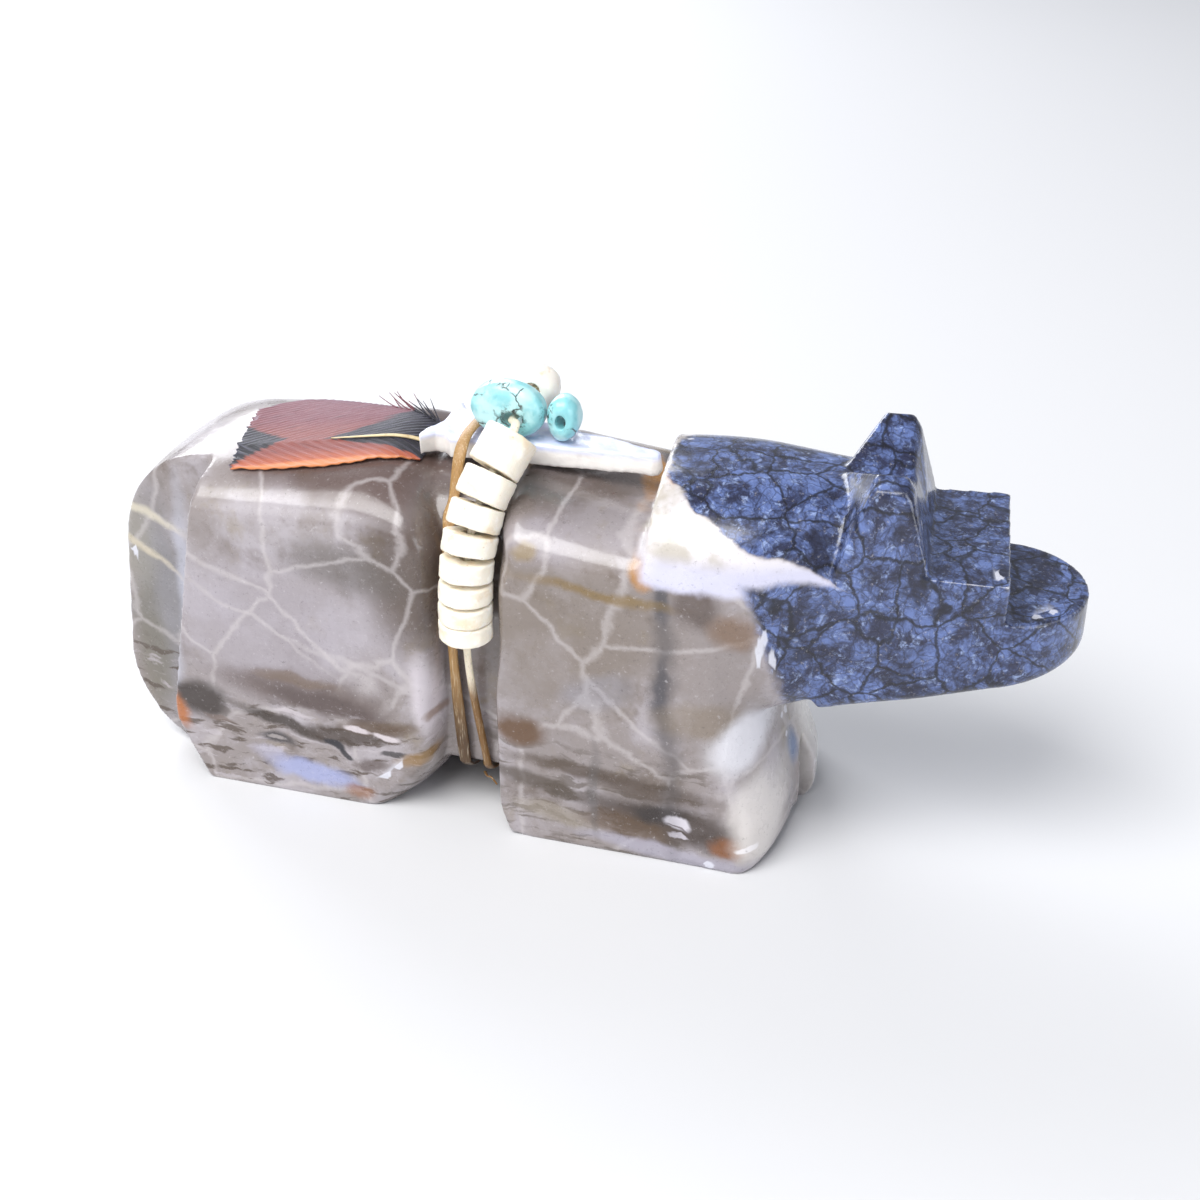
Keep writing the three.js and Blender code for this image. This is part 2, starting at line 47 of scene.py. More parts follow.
# The photographer's stand: a camera held high over the near side, a pale table, and a
# white tent above it, made of one wide cloth overhead and two at the sides.
CAMERA_PLACE = Vector((34.38, -110.46, 79.24)) * MM
CAMERA_AIM = Vector((1.44, 0.74, 14.95)) * MM
CAMERA_LENS = 55.05

camera_data = bpy.data.cameras.new("camera")
camera_data.lens = CAMERA_LENS
camera_data.sensor_width = 36.0
camera_data.clip_start = 0.005
camera_data.clip_end = 20.0
camera = bpy.data.objects.new("camera", camera_data)
camera.location = CAMERA_PLACE
camera.rotation_mode = "QUATERNION"
camera.rotation_quaternion = (CAMERA_AIM - CAMERA_PLACE).to_track_quat("-Z", "Y")
bpy.context.scene.collection.objects.link(camera)
bpy.context.scene.camera = camera


def hang_light(name, azimuth, elevation, distance, width, height, power, warmth=(1, 1, 1)):
    """A lit cloth on a frame, facing the stone; azimuth 0 is the near side, 90 the head end."""
    data = bpy.data.lights.new(name, "AREA")
    data.shape = "RECTANGLE"
    data.size, data.size_y = width, height
    data.energy = power
    data.color = warmth
    turn, rise = math.radians(azimuth), math.radians(elevation)
    out = Vector((math.sin(turn) * math.cos(rise), -math.cos(turn) * math.cos(rise), math.sin(rise)))
    light = bpy.data.objects.new(name, data)
    light.location = out * distance
    light.rotation_mode = "QUATERNION"
    light.rotation_quaternion = (-out).to_track_quat("-Z", "Y")
    bpy.context.scene.collection.objects.link(light)
    return light


hang_light("cloth_overhead", -25, 58, 0.42, 0.34, 0.26, 2.1)
hang_light("cloth_behind", 222, 30, 0.45, 0.30, 0.24, 1.5, (0.94, 0.96, 1))
hang_light("cloth_head_side", 60, 12, 0.5, 0.24, 0.26, 0.8, (0.92, 0.95, 1))
hang_light("cloth_near", -30, 20, 0.7, 0.4, 0.3, 0.7)

tent = bpy.data.worlds.new("tent")
tent.use_nodes = True
tent.node_tree.nodes["Background"].inputs["Color"].default_value = (0.84, 0.87, 0.94, 1)
tent.node_tree.nodes["Background"].inputs["Strength"].default_value = 0.38
bpy.context.scene.world = tent
bpy.context.scene.view_settings.view_transform = "Standard"

table_mesh = bpy.data.meshes.new("table_top")
TABLE_HALF = 3.0
table_mesh.from_pydata(
    [(-TABLE_HALF, -TABLE_HALF, 0), (TABLE_HALF, -TABLE_HALF, 0), (TABLE_HALF, TABLE_HALF, 0), (-TABLE_HALF, TABLE_HALF, 0)],
    [],
    [(0, 1, 2, 3)],
)
table_top = bpy.data.objects.new("table_top", table_mesh)
bpy.context.scene.collection.objects.link(table_top)
table_paint = bpy.data.materials.new("table_paint")
table_paint.use_nodes = True
table_paint.node_tree.nodes["Principled BSDF"].inputs["Base Color"].default_value = (0.66, 0.66, 0.67, 1)
table_paint.node_tree.nodes["Principled BSDF"].inputs["Roughness"].default_value = 0.75
table_mesh.materials.append(table_paint)

# The wolf: one block of marble, sawn to its side outline, hollowed at the waist, filed flat
# at the tail, ears and muzzle, its edges rounded over, and the whole polished.
MIDDLE = Vector((-0.24, -0.74, 0))
HALF_WIDTH_HIND = 9.0
HALF_WIDTH_FORE = 9.6
HALF_WIDTH_WAIST = 6.6
ROUNDING_POWER = 2.5
SOLE_SINK = 0.5
HIND_FRONT_X = -8.0
TAIL_BACK_X = -34.8
TAIL_HALF_FRONT = {"near": 5.6, "far": 6.7}
TAIL_HALF_BACK = {"near": 4.6, "far": 5.1}
FORE_BACK_X = -3.75
CHEST_X = 17.4
NEAR_FOOT_SETBACK = 0.9
FAR_CHEST_CURVE = 0.02
MID_BACK_Z = 26.15
MID_BACK_DROP = 1.45
WAIST_TOP_Z = 25.5
WAIST_BOTTOM_Z = 2.7
WAIST_FLANK = (4.8, 20.6)
HEAD_TURN = math.radians(5.5)
HEAD_PIVOT_X = 12.0
NECK_START_X = 6.1
NECK_SIDE_TOP_Z = 20.0
JAW_SLOPE = 0.2
JAW_START_X = 17.3
JAW_START_Z = 12.3
FOREHEAD_Z = 23.2
STEP_X = 29.4
MUZZLE_TOP_Z = 19.9
NOSE_X = 35.05
MUZZLE_HALF_WIDTH = 6.15
EAR_TIP_Z = 29.5


def mesh_piece(name, points, faces):
    """A new piece from points in millimetres."""
    mesh = bpy.data.meshes.new(name)
    mesh.from_pydata([tuple(p) for p in points], [], [tuple(f) for f in faces])
    mesh.update()
    piece = bpy.data.objects.new(name, mesh)
    bpy.context.scene.collection.objects.link(piece)
    return piece


def face_outwards(mesh):
    """Turns every face of a closed skin outwards."""
    work = bmesh.new()
    work.from_mesh(mesh)
    bmesh.ops.recalc_face_normals(work, faces=work.faces)
    if work.calc_volume(signed=True) < 0:
        bmesh.ops.reverse_faces(work, faces=work.faces)
    work.to_mesh(mesh)
    work.free()


def skin(name, rings):
    """A closed skin over a stack of rings that all have the same number of points."""
    count = len(rings[0])
    points = [p for ring in rings for p in ring]
    faces = []
    for r in range(len(rings) - 1):
        for i in range(count):
            a, b = r * count + i, r * count + (i + 1) % count
            faces.append((a, b, b + count, a + count))
    for start in (0, (len(rings) - 1) * count):
        ring = np.array(points[start : start + count])
        points.append(tuple(ring.mean(axis=0)))
        faces += [(start + i, start + (i + 1) % count, len(points) - 1) for i in range(count)]
    piece = mesh_piece(name, points, faces)
    face_outwards(piece.data)
    return piece


def prism(name, outline, axis, low, high):
    """A straight-sided block between two heights along one axis."""
    place = {
        "x": lambda u, v, t: (t, u, v),
        "y": lambda u, v, t: (u, t, v),
        "z": lambda u, v, t: (u, v, t),
    }[axis]
    return skin(name, [[place(u, v, t) for u, v in outline] for t in (low, high)])


def rounded_outline(corners, longest=0.7, turn_step=0.06):
    """An outline with rounded corners, each corner given as (u, v, radius)."""
    arcs = []
    for i, (u, v, radius) in enumerate(corners):
        here = Vector((u, v))
        inwards = (here - Vector(corners[i - 1][:2])).normalized()
        outwards = (Vector(corners[(i + 1) % len(corners)][:2]) - here).normalized()
        turn = math.asin(inwards.x * outwards.y - inwards.y * outwards.x)
        side = Vector((inwards.y, -inwards.x)) * math.copysign(1, turn)
        start = here - inwards * radius * math.tan(abs(turn) / 2)
        centre = start - side * radius
        steps = max(1, math.ceil(abs(turn) / turn_step))
        arcs.append([centre + Matrix.Rotation(turn * k / steps, 2) @ side * radius for k in range(steps + 1)])
    points = []
    for arc, following in zip(arcs, arcs[1:] + arcs[:1]):
        points += arc
        gap = following[0] - arc[-1]
        pieces = math.ceil(gap.length / longest)
        points += [arc[-1] + gap * k / pieces for k in range(1, pieces)]
    return [tuple(p) for p in points]


def edge_round(step, steps):
    """How far a rounded edge has come out and in (0 to 1), at a step round its quarter turn."""
    angle = step / steps * math.pi / 2
    power = 2 / ROUNDING_POWER
    return math.sin(angle) ** power, 1 - max(math.cos(angle), 0) ** power


def draw_in(value, low, high):
    """Draws a value that lies outside a range in to its end, but for a small rest."""
    rest = 0.12
    nearest = min(max(value, low), high)
    return nearest + rest * (value - nearest)


def smooth_rise(value, low, high):
    part = min(max((value - low) / (high - low), 0), 1)
    return part * part * (3 - 2 * part)


def smooth_fall(value, low, high):
    return 1 - smooth_rise(value, low, high)


def side_block(name, corners, half_width_at, flat_x, flat_z, steps=20):
    """A block sawn to a side outline, its edges rounded towards the flat of both flanks."""
    outline = rounded_outline(corners)
    rings = []
    for step in range(-steps, steps + 1):
        out, inset = edge_round(abs(step), steps)
        ring = []
        for x, z in outline:
            flank_x = x + (draw_in(x, *flat_x(z)) - x) * inset
            flank_z = z + (draw_in(z, *flat_z) - z) * inset
            ring.append((flank_x, math.copysign(out, step) * half_width_at(flank_x), flank_z))
        rings.append(ring)
    return skin(name, rings)


def work_stone(body, tool, how="DIFFERENCE"):
    """Cuts a tool's shape from the block, or joins it on."""
    change = body.modifiers.new("change", "BOOLEAN")
    change.operation = how
    change.object = tool
    change.solver = "MANIFOLD"
    bpy.context.view_layer.update()
    done = body.evaluated_get(bpy.context.evaluated_depsgraph_get())
    fresh = bpy.data.meshes.new_from_object(done)
    body.modifiers.clear()
    body.data = fresh
    bpy.data.objects.remove(tool)


haunches = side_block(
    "haunches",
    [
        (HIND_FRONT_X, -SOLE_SINK, 6.0),
        (TAIL_BACK_X - 0.5, -SOLE_SINK, 8),
        (TAIL_BACK_X - 0.3, 10.5, 14),
        (TAIL_BACK_X + 1.2, 25.1, 9.4),
        (HIND_FRONT_X, 26.8, 6.5),
    ],
    lambda x: HALF_WIDTH_HIND,
    lambda z: (-29.3, HIND_FRONT_X - 2.2 - 4.2 * smooth_fall(z, 0, 5)),
    (0.15, 21.3),
)
for side, end in ((1, "far"), (-1, "near")):
    behind_haunch = rounded_outline(
        [(-25.3, 27.6, 0.1), (-29.35, 5.2, 4.0), (-26.3, -1.4, 0.1), (-40, -1.4, 0.1), (-40, 27.6, 0.1)]
    )

    def tail_wall(x):
        slope = (TAIL_HALF_FRONT[end] - TAIL_HALF_BACK[end]) / (-24 - TAIL_BACK_X)
        return TAIL_HALF_BACK[end] + slope * (x - TAIL_BACK_X)

    work_stone(
        haunches,
        skin("tail_cut", [[(x, side * y(x), z) for x, z in behind_haunch] for y in (tail_wall, lambda x: 12)]),
    )

waist = side_block(
    "waist",
    [(-10.5, WAIST_BOTTOM_Z, 0.3), (-2.5, WAIST_BOTTOM_Z, 0.3), (-2.5, WAIST_TOP_Z, 0.3), (-10.5, WAIST_TOP_Z, 0.3)],
    lambda x: HALF_WIDTH_WAIST,
    lambda z: (-12, 0),
    WAIST_FLANK,
)
shoulders = side_block(
    "shoulders",
    [
        (FORE_BACK_X, -SOLE_SINK, 2.8),
        (CHEST_X, -SOLE_SINK, 2.2),
        (CHEST_X, 3.6, 3),
        (15.5, 9, 3),
        (13, MID_BACK_Z - 1.7 * MID_BACK_DROP, 6),
        (FORE_BACK_X, MID_BACK_Z, 1.7),
    ],
    lambda x: HALF_WIDTH_FORE * (1 - 0.0012 * (CHEST_X - x)),
    lambda z: (
        FORE_BACK_X + 2.6 + 0.7 * smooth_fall(z, 0, 3) - 0.8 * smooth_fall(z, 11, 16) - 1.5 * smooth_fall(z, 19, 24),
        10.4 + 3.9 * smooth_fall(z, 1, 9),
    ),
    (0.15, 21),
)
for point in shoulders.data.vertices:
    x, y, z = point.co
    near = smooth_fall(y, -1.5, 0.5) * smooth_fall(z, 4, 9)
    far = FAR_CHEST_CURVE * max(y - 1, 0) ** 2
    point.co.x -= (NEAR_FOOT_SETBACK * near + far) * smooth_fall(-x, -14, -8)


def spline(knots):
    """A smooth line through knots (x, value), as a function of x."""
    k = np.array([knots[0], *knots, knots[-1]], float)
    t = np.linspace(0, 1, 24, endpoint=False)[:, None]
    drawn = []
    for i in range(len(knots) - 1):
        a, b, c, d = k[i : i + 4]
        pull, push = (c - a) / 2, (d - b) / 2
        drawn.append((2 * b - 2 * c + pull + push) * t**3 + (3 * c - 3 * b - 2 * pull - push) * t**2 + pull * t + b)
    drawn = np.vstack([*drawn, k[-1:]])
    return lambda x: float(np.interp(x, drawn[:, 0], drawn[:, 1]))


head_half_width = spline(
    [(5, 8.65), (9, 9.0), (11, 9.05), (13, 8.75), (15.5, 7.9), (18.3, 7.05), (21, 6.95), (24.5, 6.87), (29.4, 6.15), (34, 5.4)]
)
crown_height = spline([(5, 27.4), (8, 27.6), (12, 27.6), (16, 27.4), (20, 27.1), (25, 26.7)])


def jaw_height(x):
    return JAW_START_Z + JAW_SLOPE * (x - JAW_START_X)


def neck_ring(x):
    """One section of the neck, round over the crown and a little rounded below."""
    quarter, low_round = 20, 3
    w, crown, low = head_half_width(x), crown_height(x), max(jaw_height(x), 9.6)
    ring = []
    for step in range(-quarter, quarter + 1):
        out, inset = edge_round(abs(step), quarter)
        ring.append((math.copysign(out, step) * w, crown - (crown - NECK_SIDE_TOP_Z) * inset))
    corner = [k / 10 * math.pi / 2 for k in range(11)]
    for side, turns in ((1, corner), (-1, corner[::-1])):
        for a in turns:
            ring.append((side * (w - low_round + low_round * math.cos(a)), low + low_round - low_round * math.sin(a)))
    lean = 0.12 * max(1 - (x - NECK_START_X) / 1.5, 0)
    return [(x + lean * (z - 26), y, z) for y, z in ring]


def head_plan(start_x, half_width_at):
    """The plan of the muzzle is a D, whose round end is the nose."""
    near = [(x, half_width_at(x)) for x in np.arange(start_x, STEP_X, 0.5)]
    steps, power = 40, 2 / 1.95
    for k in range(steps + 1):
        angle = k / steps * math.pi / 2
        near.append(
            (STEP_X + (NOSE_X - STEP_X) * math.sin(angle) ** power, MUZZLE_HALF_WIDTH * max(math.cos(angle), 0) ** power)
        )
    return near + [(x, -y) for x, y in near[-2::-1]]


def jaw_ring(inset, rise, middle_x=22, jaw_round=1.3):
    ring = []
    for x, y in head_plan(17.4, lambda x: min(head_half_width(x), 7.05)):
        size = 1 - jaw_round * inset / max(6, math.hypot(x - middle_x, y))
        ring.append((middle_x + (x - middle_x) * size, y * size, jaw_height(x) + jaw_round * (1 - rise)))
    return ring


def brow_ring(z, rise, tuck):
    """One level of the forehead, which widens towards the step down to the muzzle."""
    near = []
    for x in np.arange(19, STEP_X + 0.3, 0.5):
        out = 0.95 * rise * smooth_rise(x, 23, STEP_X + 0.5)
        near.append((x, head_half_width(x) - tuck + out, z))
    return near + [(x, -y, z) for x, y, z in reversed(near)]


def ear_block(side):
    """One ear with the cheek below it, filed flat on its outer, inner, front and back faces."""
    corners = [
        (18.0, 0, 27.15), (22.7, 0, 26.85), (24.2, 0, FOREHEAD_Z), (19, 0, 20), (24.2, 0, 20),
        (20.0, 4.9, 28.75), (20.5, 5.1, EAR_TIP_Z), (22.4, 5.1, EAR_TIP_Z), (22.95, 4.9, 28.6),
        (20.1, 6.2, 28.3), (20.5, 6.3, 28.75), (22.4, 6.3, 28.75), (22.95, 6.2, 28.2),
        (18.3, 7.15, 23.3), (18.05, 7.3, 21.6), (18.5, 7.3, 20.8), (19.4, 7.25, 20.6),
        (21.6, 7.1, 20.6), (24.2, 6.95, 21.4), (24.35, 6.9, FOREHEAD_Z),
    ]  # fmt: skip
    work = bmesh.new()
    for x, y, z in corners:
        work.verts.new((x, side * y, z))
    hull = bmesh.ops.convex_hull(work, input=work.verts)
    bmesh.ops.delete(work, geom=hull["geom_interior"], context="VERTS")
    mesh = bpy.data.meshes.new("ear")
    work.to_mesh(mesh)
    work.free()
    face_outwards(mesh)
    piece = bpy.data.objects.new("ear", mesh)
    bpy.context.scene.collection.objects.link(piece)
    return piece


head = skin("head", [neck_ring(x) for x in np.append(np.arange(NECK_START_X, 24.2, 0.3), 24.2)])
jaw_steps = 12
jaw_rings = []
for step in range(jaw_steps, -1, -1):
    rise, inset = edge_round(step, jaw_steps)
    jaw_rings.append(jaw_ring(inset, rise))
jaw_rings.append([(x, y, MUZZLE_TOP_Z) for x, y, _ in jaw_rings[-1]])
work_stone(head, skin("jaw", jaw_rings), "UNION")
work_stone(
    head,
    prism("above_forehead", [(22.35, 28.5), (24.35, FOREHEAD_Z), (40, FOREHEAD_Z), (40, 40), (22.35, 40)], "y", -14, 14),
)
brow_levels = [(18, 0, 0.4)] + [(MUZZLE_TOP_Z + (FOREHEAD_Z - MUZZLE_TOP_Z) * k / 8, k / 8, 0) for k in range(9)]
work_stone(head, skin("brow", [brow_ring(*level) for level in brow_levels]), "UNION")
for side in (1, -1):
    work_stone(head, ear_block(side), "UNION")
pivot = Matrix.Translation((HEAD_PIVOT_X, 0, 0))
head.data.transform(pivot @ Matrix.Rotation(HEAD_TURN, 4, "Z") @ pivot.inverted())

wolf = haunches
work_stone(wolf, waist, "UNION")
work_stone(wolf, shoulders, "UNION")
work_stone(wolf, head, "UNION")
for start_x, end_x, top in ((-6, 24, 6.6), (-27.5, -6, 5.2)):
    cleft = [(-1.0, -2), (1.3, -2), (1.1, top * 0.6), (0.2, top), (-0.8, top * 0.6)]
    work_stone(wolf, prism("cleft", cleft, "x", start_x, end_x))
work_stone(wolf, prism("below_floor", [(-50, -20), (50, -20), (50, 20), (-50, 20)], "z", -10, 0))
wolf.name = "wolf_polished"
wolf.data.transform(Matrix.Translation(-MIDDLE))

evened = wolf.modifiers.new("evened", "REMESH")
evened.mode = "VOXEL"
evened.voxel_size = 0.2
evened.adaptivity = 0
bpy.context.view_layer.update()
wolf.data = bpy.data.meshes.new_from_object(wolf.evaluated_get(bpy.context.evaluated_depsgraph_get()))
wolf.modifiers.clear()


def rub_down(mesh, passes, how_much, swell=0.0):
    """Rubs a surface smooth: each point moves towards its neighbours, more where asked."""
    count = len(mesh.vertices)
    place = np.zeros(count * 3)
    mesh.vertices.foreach_get("co", place)
    place = place.reshape(-1, 3)
    ends = np.zeros(len(mesh.edges) * 2, int)
    mesh.edges.foreach_get("vertices", ends)
    a, b = ends.reshape(-1, 2).T
    around = np.bincount(np.r_[a, b], minlength=count)[:, None]
    amount = how_much(place)[:, None]
    for _ in range(passes):
        for step in (0.5, -swell):
            if step == 0:
                continue
            total = np.stack(
                [np.bincount(np.r_[a, b], weights=np.r_[place[b, k], place[a, k]], minlength=count) for k in range(3)], 1
            )
            place = place + amount * step * (total / around - place)
    place[:, 2] = np.maximum(place[:, 2], 0)
    mesh.vertices.foreach_set("co", place.ravel())
    mesh.update()


rub_down(wolf.data, 8, lambda p: np.ones(len(p)), swell=0.52)


def ball_of(place, centre, reach):
    """1 at a centre, falling to 0 at a reach (x, y, z) from it."""
    away = np.linalg.norm((place - np.array(centre)) / np.array(reach), axis=1)
    part = np.clip(1 - away, 0, 1)
    return part * part * (3 - 2 * part)


def soft_places(place):
    shoulder = sum(ball_of(place, (x, y, z), (5, 5, 5)) for x, y, z in ((8, -7.5, 21), (12, -7, 18), (15, -6.5, 14)))
    far_shoulder = sum(ball_of(place, (x, y, z), (5, 5, 5)) for x, y, z in ((8, 9, 21), (12, 9, 18), (15, 9, 14)))
    return np.clip(shoulder + far_shoulder, 0, 1)


rub_down(wolf.data, 60, soft_places)
thinned = wolf.modifiers.new("thinned", "DECIMATE")
thinned.ratio = 0.53
bpy.context.view_layer.update()
wolf.data = bpy.data.meshes.new_from_object(wolf.evaluated_get(bpy.context.evaluated_depsgraph_get()))
wolf.modifiers.clear()
wolf.data.transform(Matrix.Scale(MM, 4))
wolf.data.shade_smooth()


def tint(code):
    """A colour as the eye names it, in the shader's own light values."""
    parts = [int(code[i : i + 2], 16) / 255 for i in (0, 2, 4)]
    return (*[c / 12.92 if c <= 0.04045 else ((c + 0.055) / 1.055) ** 2.4 for c in parts], 1)


class Finish:
    """One finish, laid up layer by layer; places are in millimetres on the piece."""

    def __init__(self, name, roughness=0.5, coat=0.0, coat_roughness=0.05, ior=1.5):
        self.material = bpy.data.materials.new(name)
        self.material.use_nodes = True
        self.tree = self.material.node_tree
        self.shader = self.tree.nodes["Principled BSDF"]
        self.shader.inputs["Roughness"].default_value = roughness
        self.shader.inputs["Coat Weight"].default_value = coat
        self.shader.inputs["Coat Roughness"].default_value = coat_roughness
        self.shader.inputs["IOR"].default_value = ior
        place = self.node("ShaderNodeTexCoord").outputs["Object"]
        self.where = self.vector("MULTIPLY", place, (1000, 1000, 1000))
        self.colour = None
        self.height = None

    def node(self, kind, sockets=(), **settings):
        made = self.tree.nodes.new(kind)
        for key, value in settings.items():
            setattr(made, key, value)
        for key, value in dict(sockets).items():
            if isinstance(value, bpy.types.NodeSocket):
                self.tree.links.new(value, made.inputs[key])
            else:
                made.inputs[key].default_value = value
        return made

    def math(self, operation, a, b=0.0, clamp=False):
        return self.node("ShaderNodeMath", {0: a, 1: b}, operation=operation, use_clamp=clamp).outputs[0]

    def vector(self, operation, a, b=(0, 0, 0)):
        made = self.node("ShaderNodeVectorMath", {0: a, 1: b}, operation=operation)
        return made.outputs["Value" if operation in ("DOT_PRODUCT", "LENGTH") else "Vector"]

    def along(self, direction, offset=0.0, where=None):
        """How far a place lies along a direction."""
        return self.math("ADD", self.vector("DOT_PRODUCT", where or self.where, direction), offset)

    def cloud(self, size, detail=3.0, rough=0.55, where=None, seed=0.0, colour=False):
        """Soft noise whose patches are about a size across."""
        sockets = {"Vector": where or self.where, "Scale": 1 / size, "Detail": detail, "Roughness": rough, "W": seed}
        made = self.node("ShaderNodeTexNoise", sockets, noise_dimensions="4D")
        return made.outputs["Color" if colour else "Fac"]

    def warped(self, where, amount, size, detail=2.0, seed=0.0):
        """Places pushed about by noise, so that what is drawn on them wavers."""
        push = self.vector("SUBTRACT", self.cloud(size, detail, where=where, seed=seed, colour=True), (0.5, 0.5, 0.5))
        return self.vector("ADD", where, self.vector("MULTIPLY", push, (amount,) * 3))

    def net(self, size, where=None, jitter=1.0):
        """0 on the lines of an uneven net, rising to about 0.5 in the middle of its meshes."""
        sockets = {"Vector": where or self.where, "Scale": 1 / size, "Randomness": jitter}
        return self.node("ShaderNodeTexVoronoi", sockets, feature="DISTANCE_TO_EDGE").outputs["Distance"]

    def rise(self, value, low, high):
        """0 below low and 1 above high, smoothly; low above high makes it fall."""
        swap = low > high
        sockets = {"Value": value, 1: min(low, high), 2: max(low, high), 3: float(swap), 4: float(not swap)}
        return self.node("ShaderNodeMapRange", sockets, interpolation_type="SMOOTHSTEP").outputs["Result"]

    def both(self, *masks):
        done = masks[0]
        for mask in masks[1:]:
            done = self.math("MULTIPLY", done, mask)
        return done

    def either(self, *masks):
        done = masks[0]
        for mask in masks[1:]:
            done = self.math("MAXIMUM", done, mask)
        return done

    def mix(self, under, over, amount):
        sockets = {0: amount, 6: tint(under) if isinstance(under, str) else under}
        sockets[7] = tint(over) if isinstance(over, str) else over
        return self.node("ShaderNodeMix", sockets, data_type="RGBA").outputs[2]

    def lay(self, over, amount=1.0):
        """Lays a colour over what is there, by a mask."""
        self.colour = self.mix(self.colour or over, over, amount)

    def spot(self, at, size, turn=0.0, edge=0.35, where=None):
        """1 inside an oval (half sizes along X, Y, Z; turned about Y in degrees), 0 outside."""
        sockets = {
            "Vector": where or self.where,
            "Location": at,
            "Rotation": (0, math.radians(turn), 0),
            "Scale": size,
        }
        placed = self.node("ShaderNodeMapping", sockets, vector_type="TEXTURE").outputs[0]
        return self.rise(self.vector("LENGTH", placed), 1 + edge, 1 - edge)

    def raise_by(self, height, depth):
        """Adds relief, depth in millimetres for a height from 0 to 1."""
        part = self.math("MULTIPLY", height, depth)
        self.height = self.math("ADD", self.height, part) if self.height else part

    def done(self):
        self.tree.links.new(self.colour, self.shader.inputs["Base Color"])
        if self.height:
            bump = self.node("ShaderNodeBump", {"Height": self.height, "Distance": MM, "Strength": 1.0})
            self.tree.links.new(bump.outputs[0], self.shader.inputs["Normal"])
        return self.material


marble = Finish("polished_marble", roughness=0.3, coat=0.4, coat_roughness=0.12)
wander = marble.warped(marble.where, 2.6, 6.5)
close = marble.warped(wander, 0.8, 1.2, detail=3)

# The beds of colour run through the block a little askew, so flank coordinates are X and Z
# as they stand on the near flank, and drift across the block.
NEAR_FLANK_Y = -8.5
drift_x = marble.along((1, 0.22, 0), 0.22 * -NEAR_FLANK_Y, where=close)
drift_z = marble.along((0, -0.2, 1), -0.2 * -NEAR_FLANK_Y, where=close)
flank = marble.node("ShaderNodeCombineXYZ", {0: drift_x, 2: drift_z}).outputs[0]


def patch(colour, x, z, long, high, turn=0.0, strength=1.0, edge=0.45):
    """A fleck of colour on the near flank: its middle, half length and height, and slope."""
    marble.lay(colour, marble.math("MULTIPLY", marble.spot((x, 0, z), (long, 99, high), turn, edge, flank), strength))


def vein(colour, start, end, width, strength=1.0, edge=0.7, where=None, deep=None):
    """A vein between two places (x, z) on the flank, or held to a depth (y, half width)."""
    dx, dz = end[0] - start[0], end[1] - start[1]
    y, half = deep or (0, 99)
    middle = ((start[0] + end[0]) / 2, y, (start[1] + end[1]) / 2)
    size = (math.hypot(dx, dz) / 2, half, width / 2)
    mask = marble.spot(middle, size, math.degrees(math.atan2(-dz, dx)), edge, where or flank)
    marble.lay(colour, marble.math("MULTIPLY", mask, strength))


def region(colour, at, size, strength=1.0, edge=0.5, turn=0.0):
    """A broad tint round a place (x, y, z)."""
    marble.lay(colour, marble.math("MULTIPLY", marble.spot(at, size, turn, edge, wander), strength))


# The ground: taupe and lavender-grey clouds, brown in places
marble.lay("8b8280")
marble.lay("a59ea2", marble.rise(marble.cloud(6.5, 5, 0.6, where=wander), 0.44, 0.62))
marble.lay("63564c", marble.math("MULTIPLY", marble.rise(marble.cloud(4.5, 4, 0.62, where=wander, seed=3), 0.53, 0.7), 0.75))
marble.lay("82734f", marble.math("MULTIPLY", marble.rise(marble.cloud(3.0, 4, 0.6, where=close, seed=7), 0.56, 0.74), 0.45))

# Broad tints: lavender haunch, dark saddle before the waist, browner shoulders, tail, and a painted highlight down the
# haunch's rear edge
region("a19aa2", (-20.5, 0, 14), (8.5, 30, 6), 0.6)
region("4c3d33", (-9.3, 0, 19.5), (3.6, 30, 6.5), 0.85, turn=-8)
region("56504c", (-14.2, 0, 19.6), (4.2, 30, 2.0), 0.6, turn=12)
region("54413b", (-15.5, 0, 25.6), (8.5, 30, 1.3), 0.85)
region("6f6253", (1.5, 0, 17.5), (7, 30, 6.5), 0.55)
region("4f423b", (2.0, 0, 26.0), (6, 30, 1.6), 0.6)
region("a09aa4", (-0.5, 0, 23.2), (3.4, 30, 1.5), 0.45)
region("74757a", (-31.5, 0, 12), (2.6, 30, 9), 0.65)
region("66604c", (-32.8, 0, 8), (1.6, 30, 5), 0.6)
# A painted highlight: a pale blue-lavender band down the haunch's rear edge beside the tail
region("b9bccb", (-28.9, 0, 12), (0.9, 30, 9.5), 0.55)
region("8f8a7c", (-33.5, 0, 17.5), (2.0, 30, 4), 0.5)

# Faint pale veins through the haunches, and two across the tail
haze = marble.rise(marble.net(9.0, where=close), 0.035, 0.0)
marble.lay("c3bcbc", marble.math("MULTIPLY", haze, 0.4))
vein("c9c1ae", (-34.6, 20.0), (-28.4, 18.3), 0.7, 0.8)
vein("c2b79f", (-34.4, 17.6), (-29.2, 14.4), 0.6, 0.7)
vein("b8b1b2", (-26.5, 17.5), (-17.0, 11.5), 0.35, 0.5)
vein("b8b1b2", (-19.5, 13.2), (-9.0, 10.4), 0.5, 0.45)

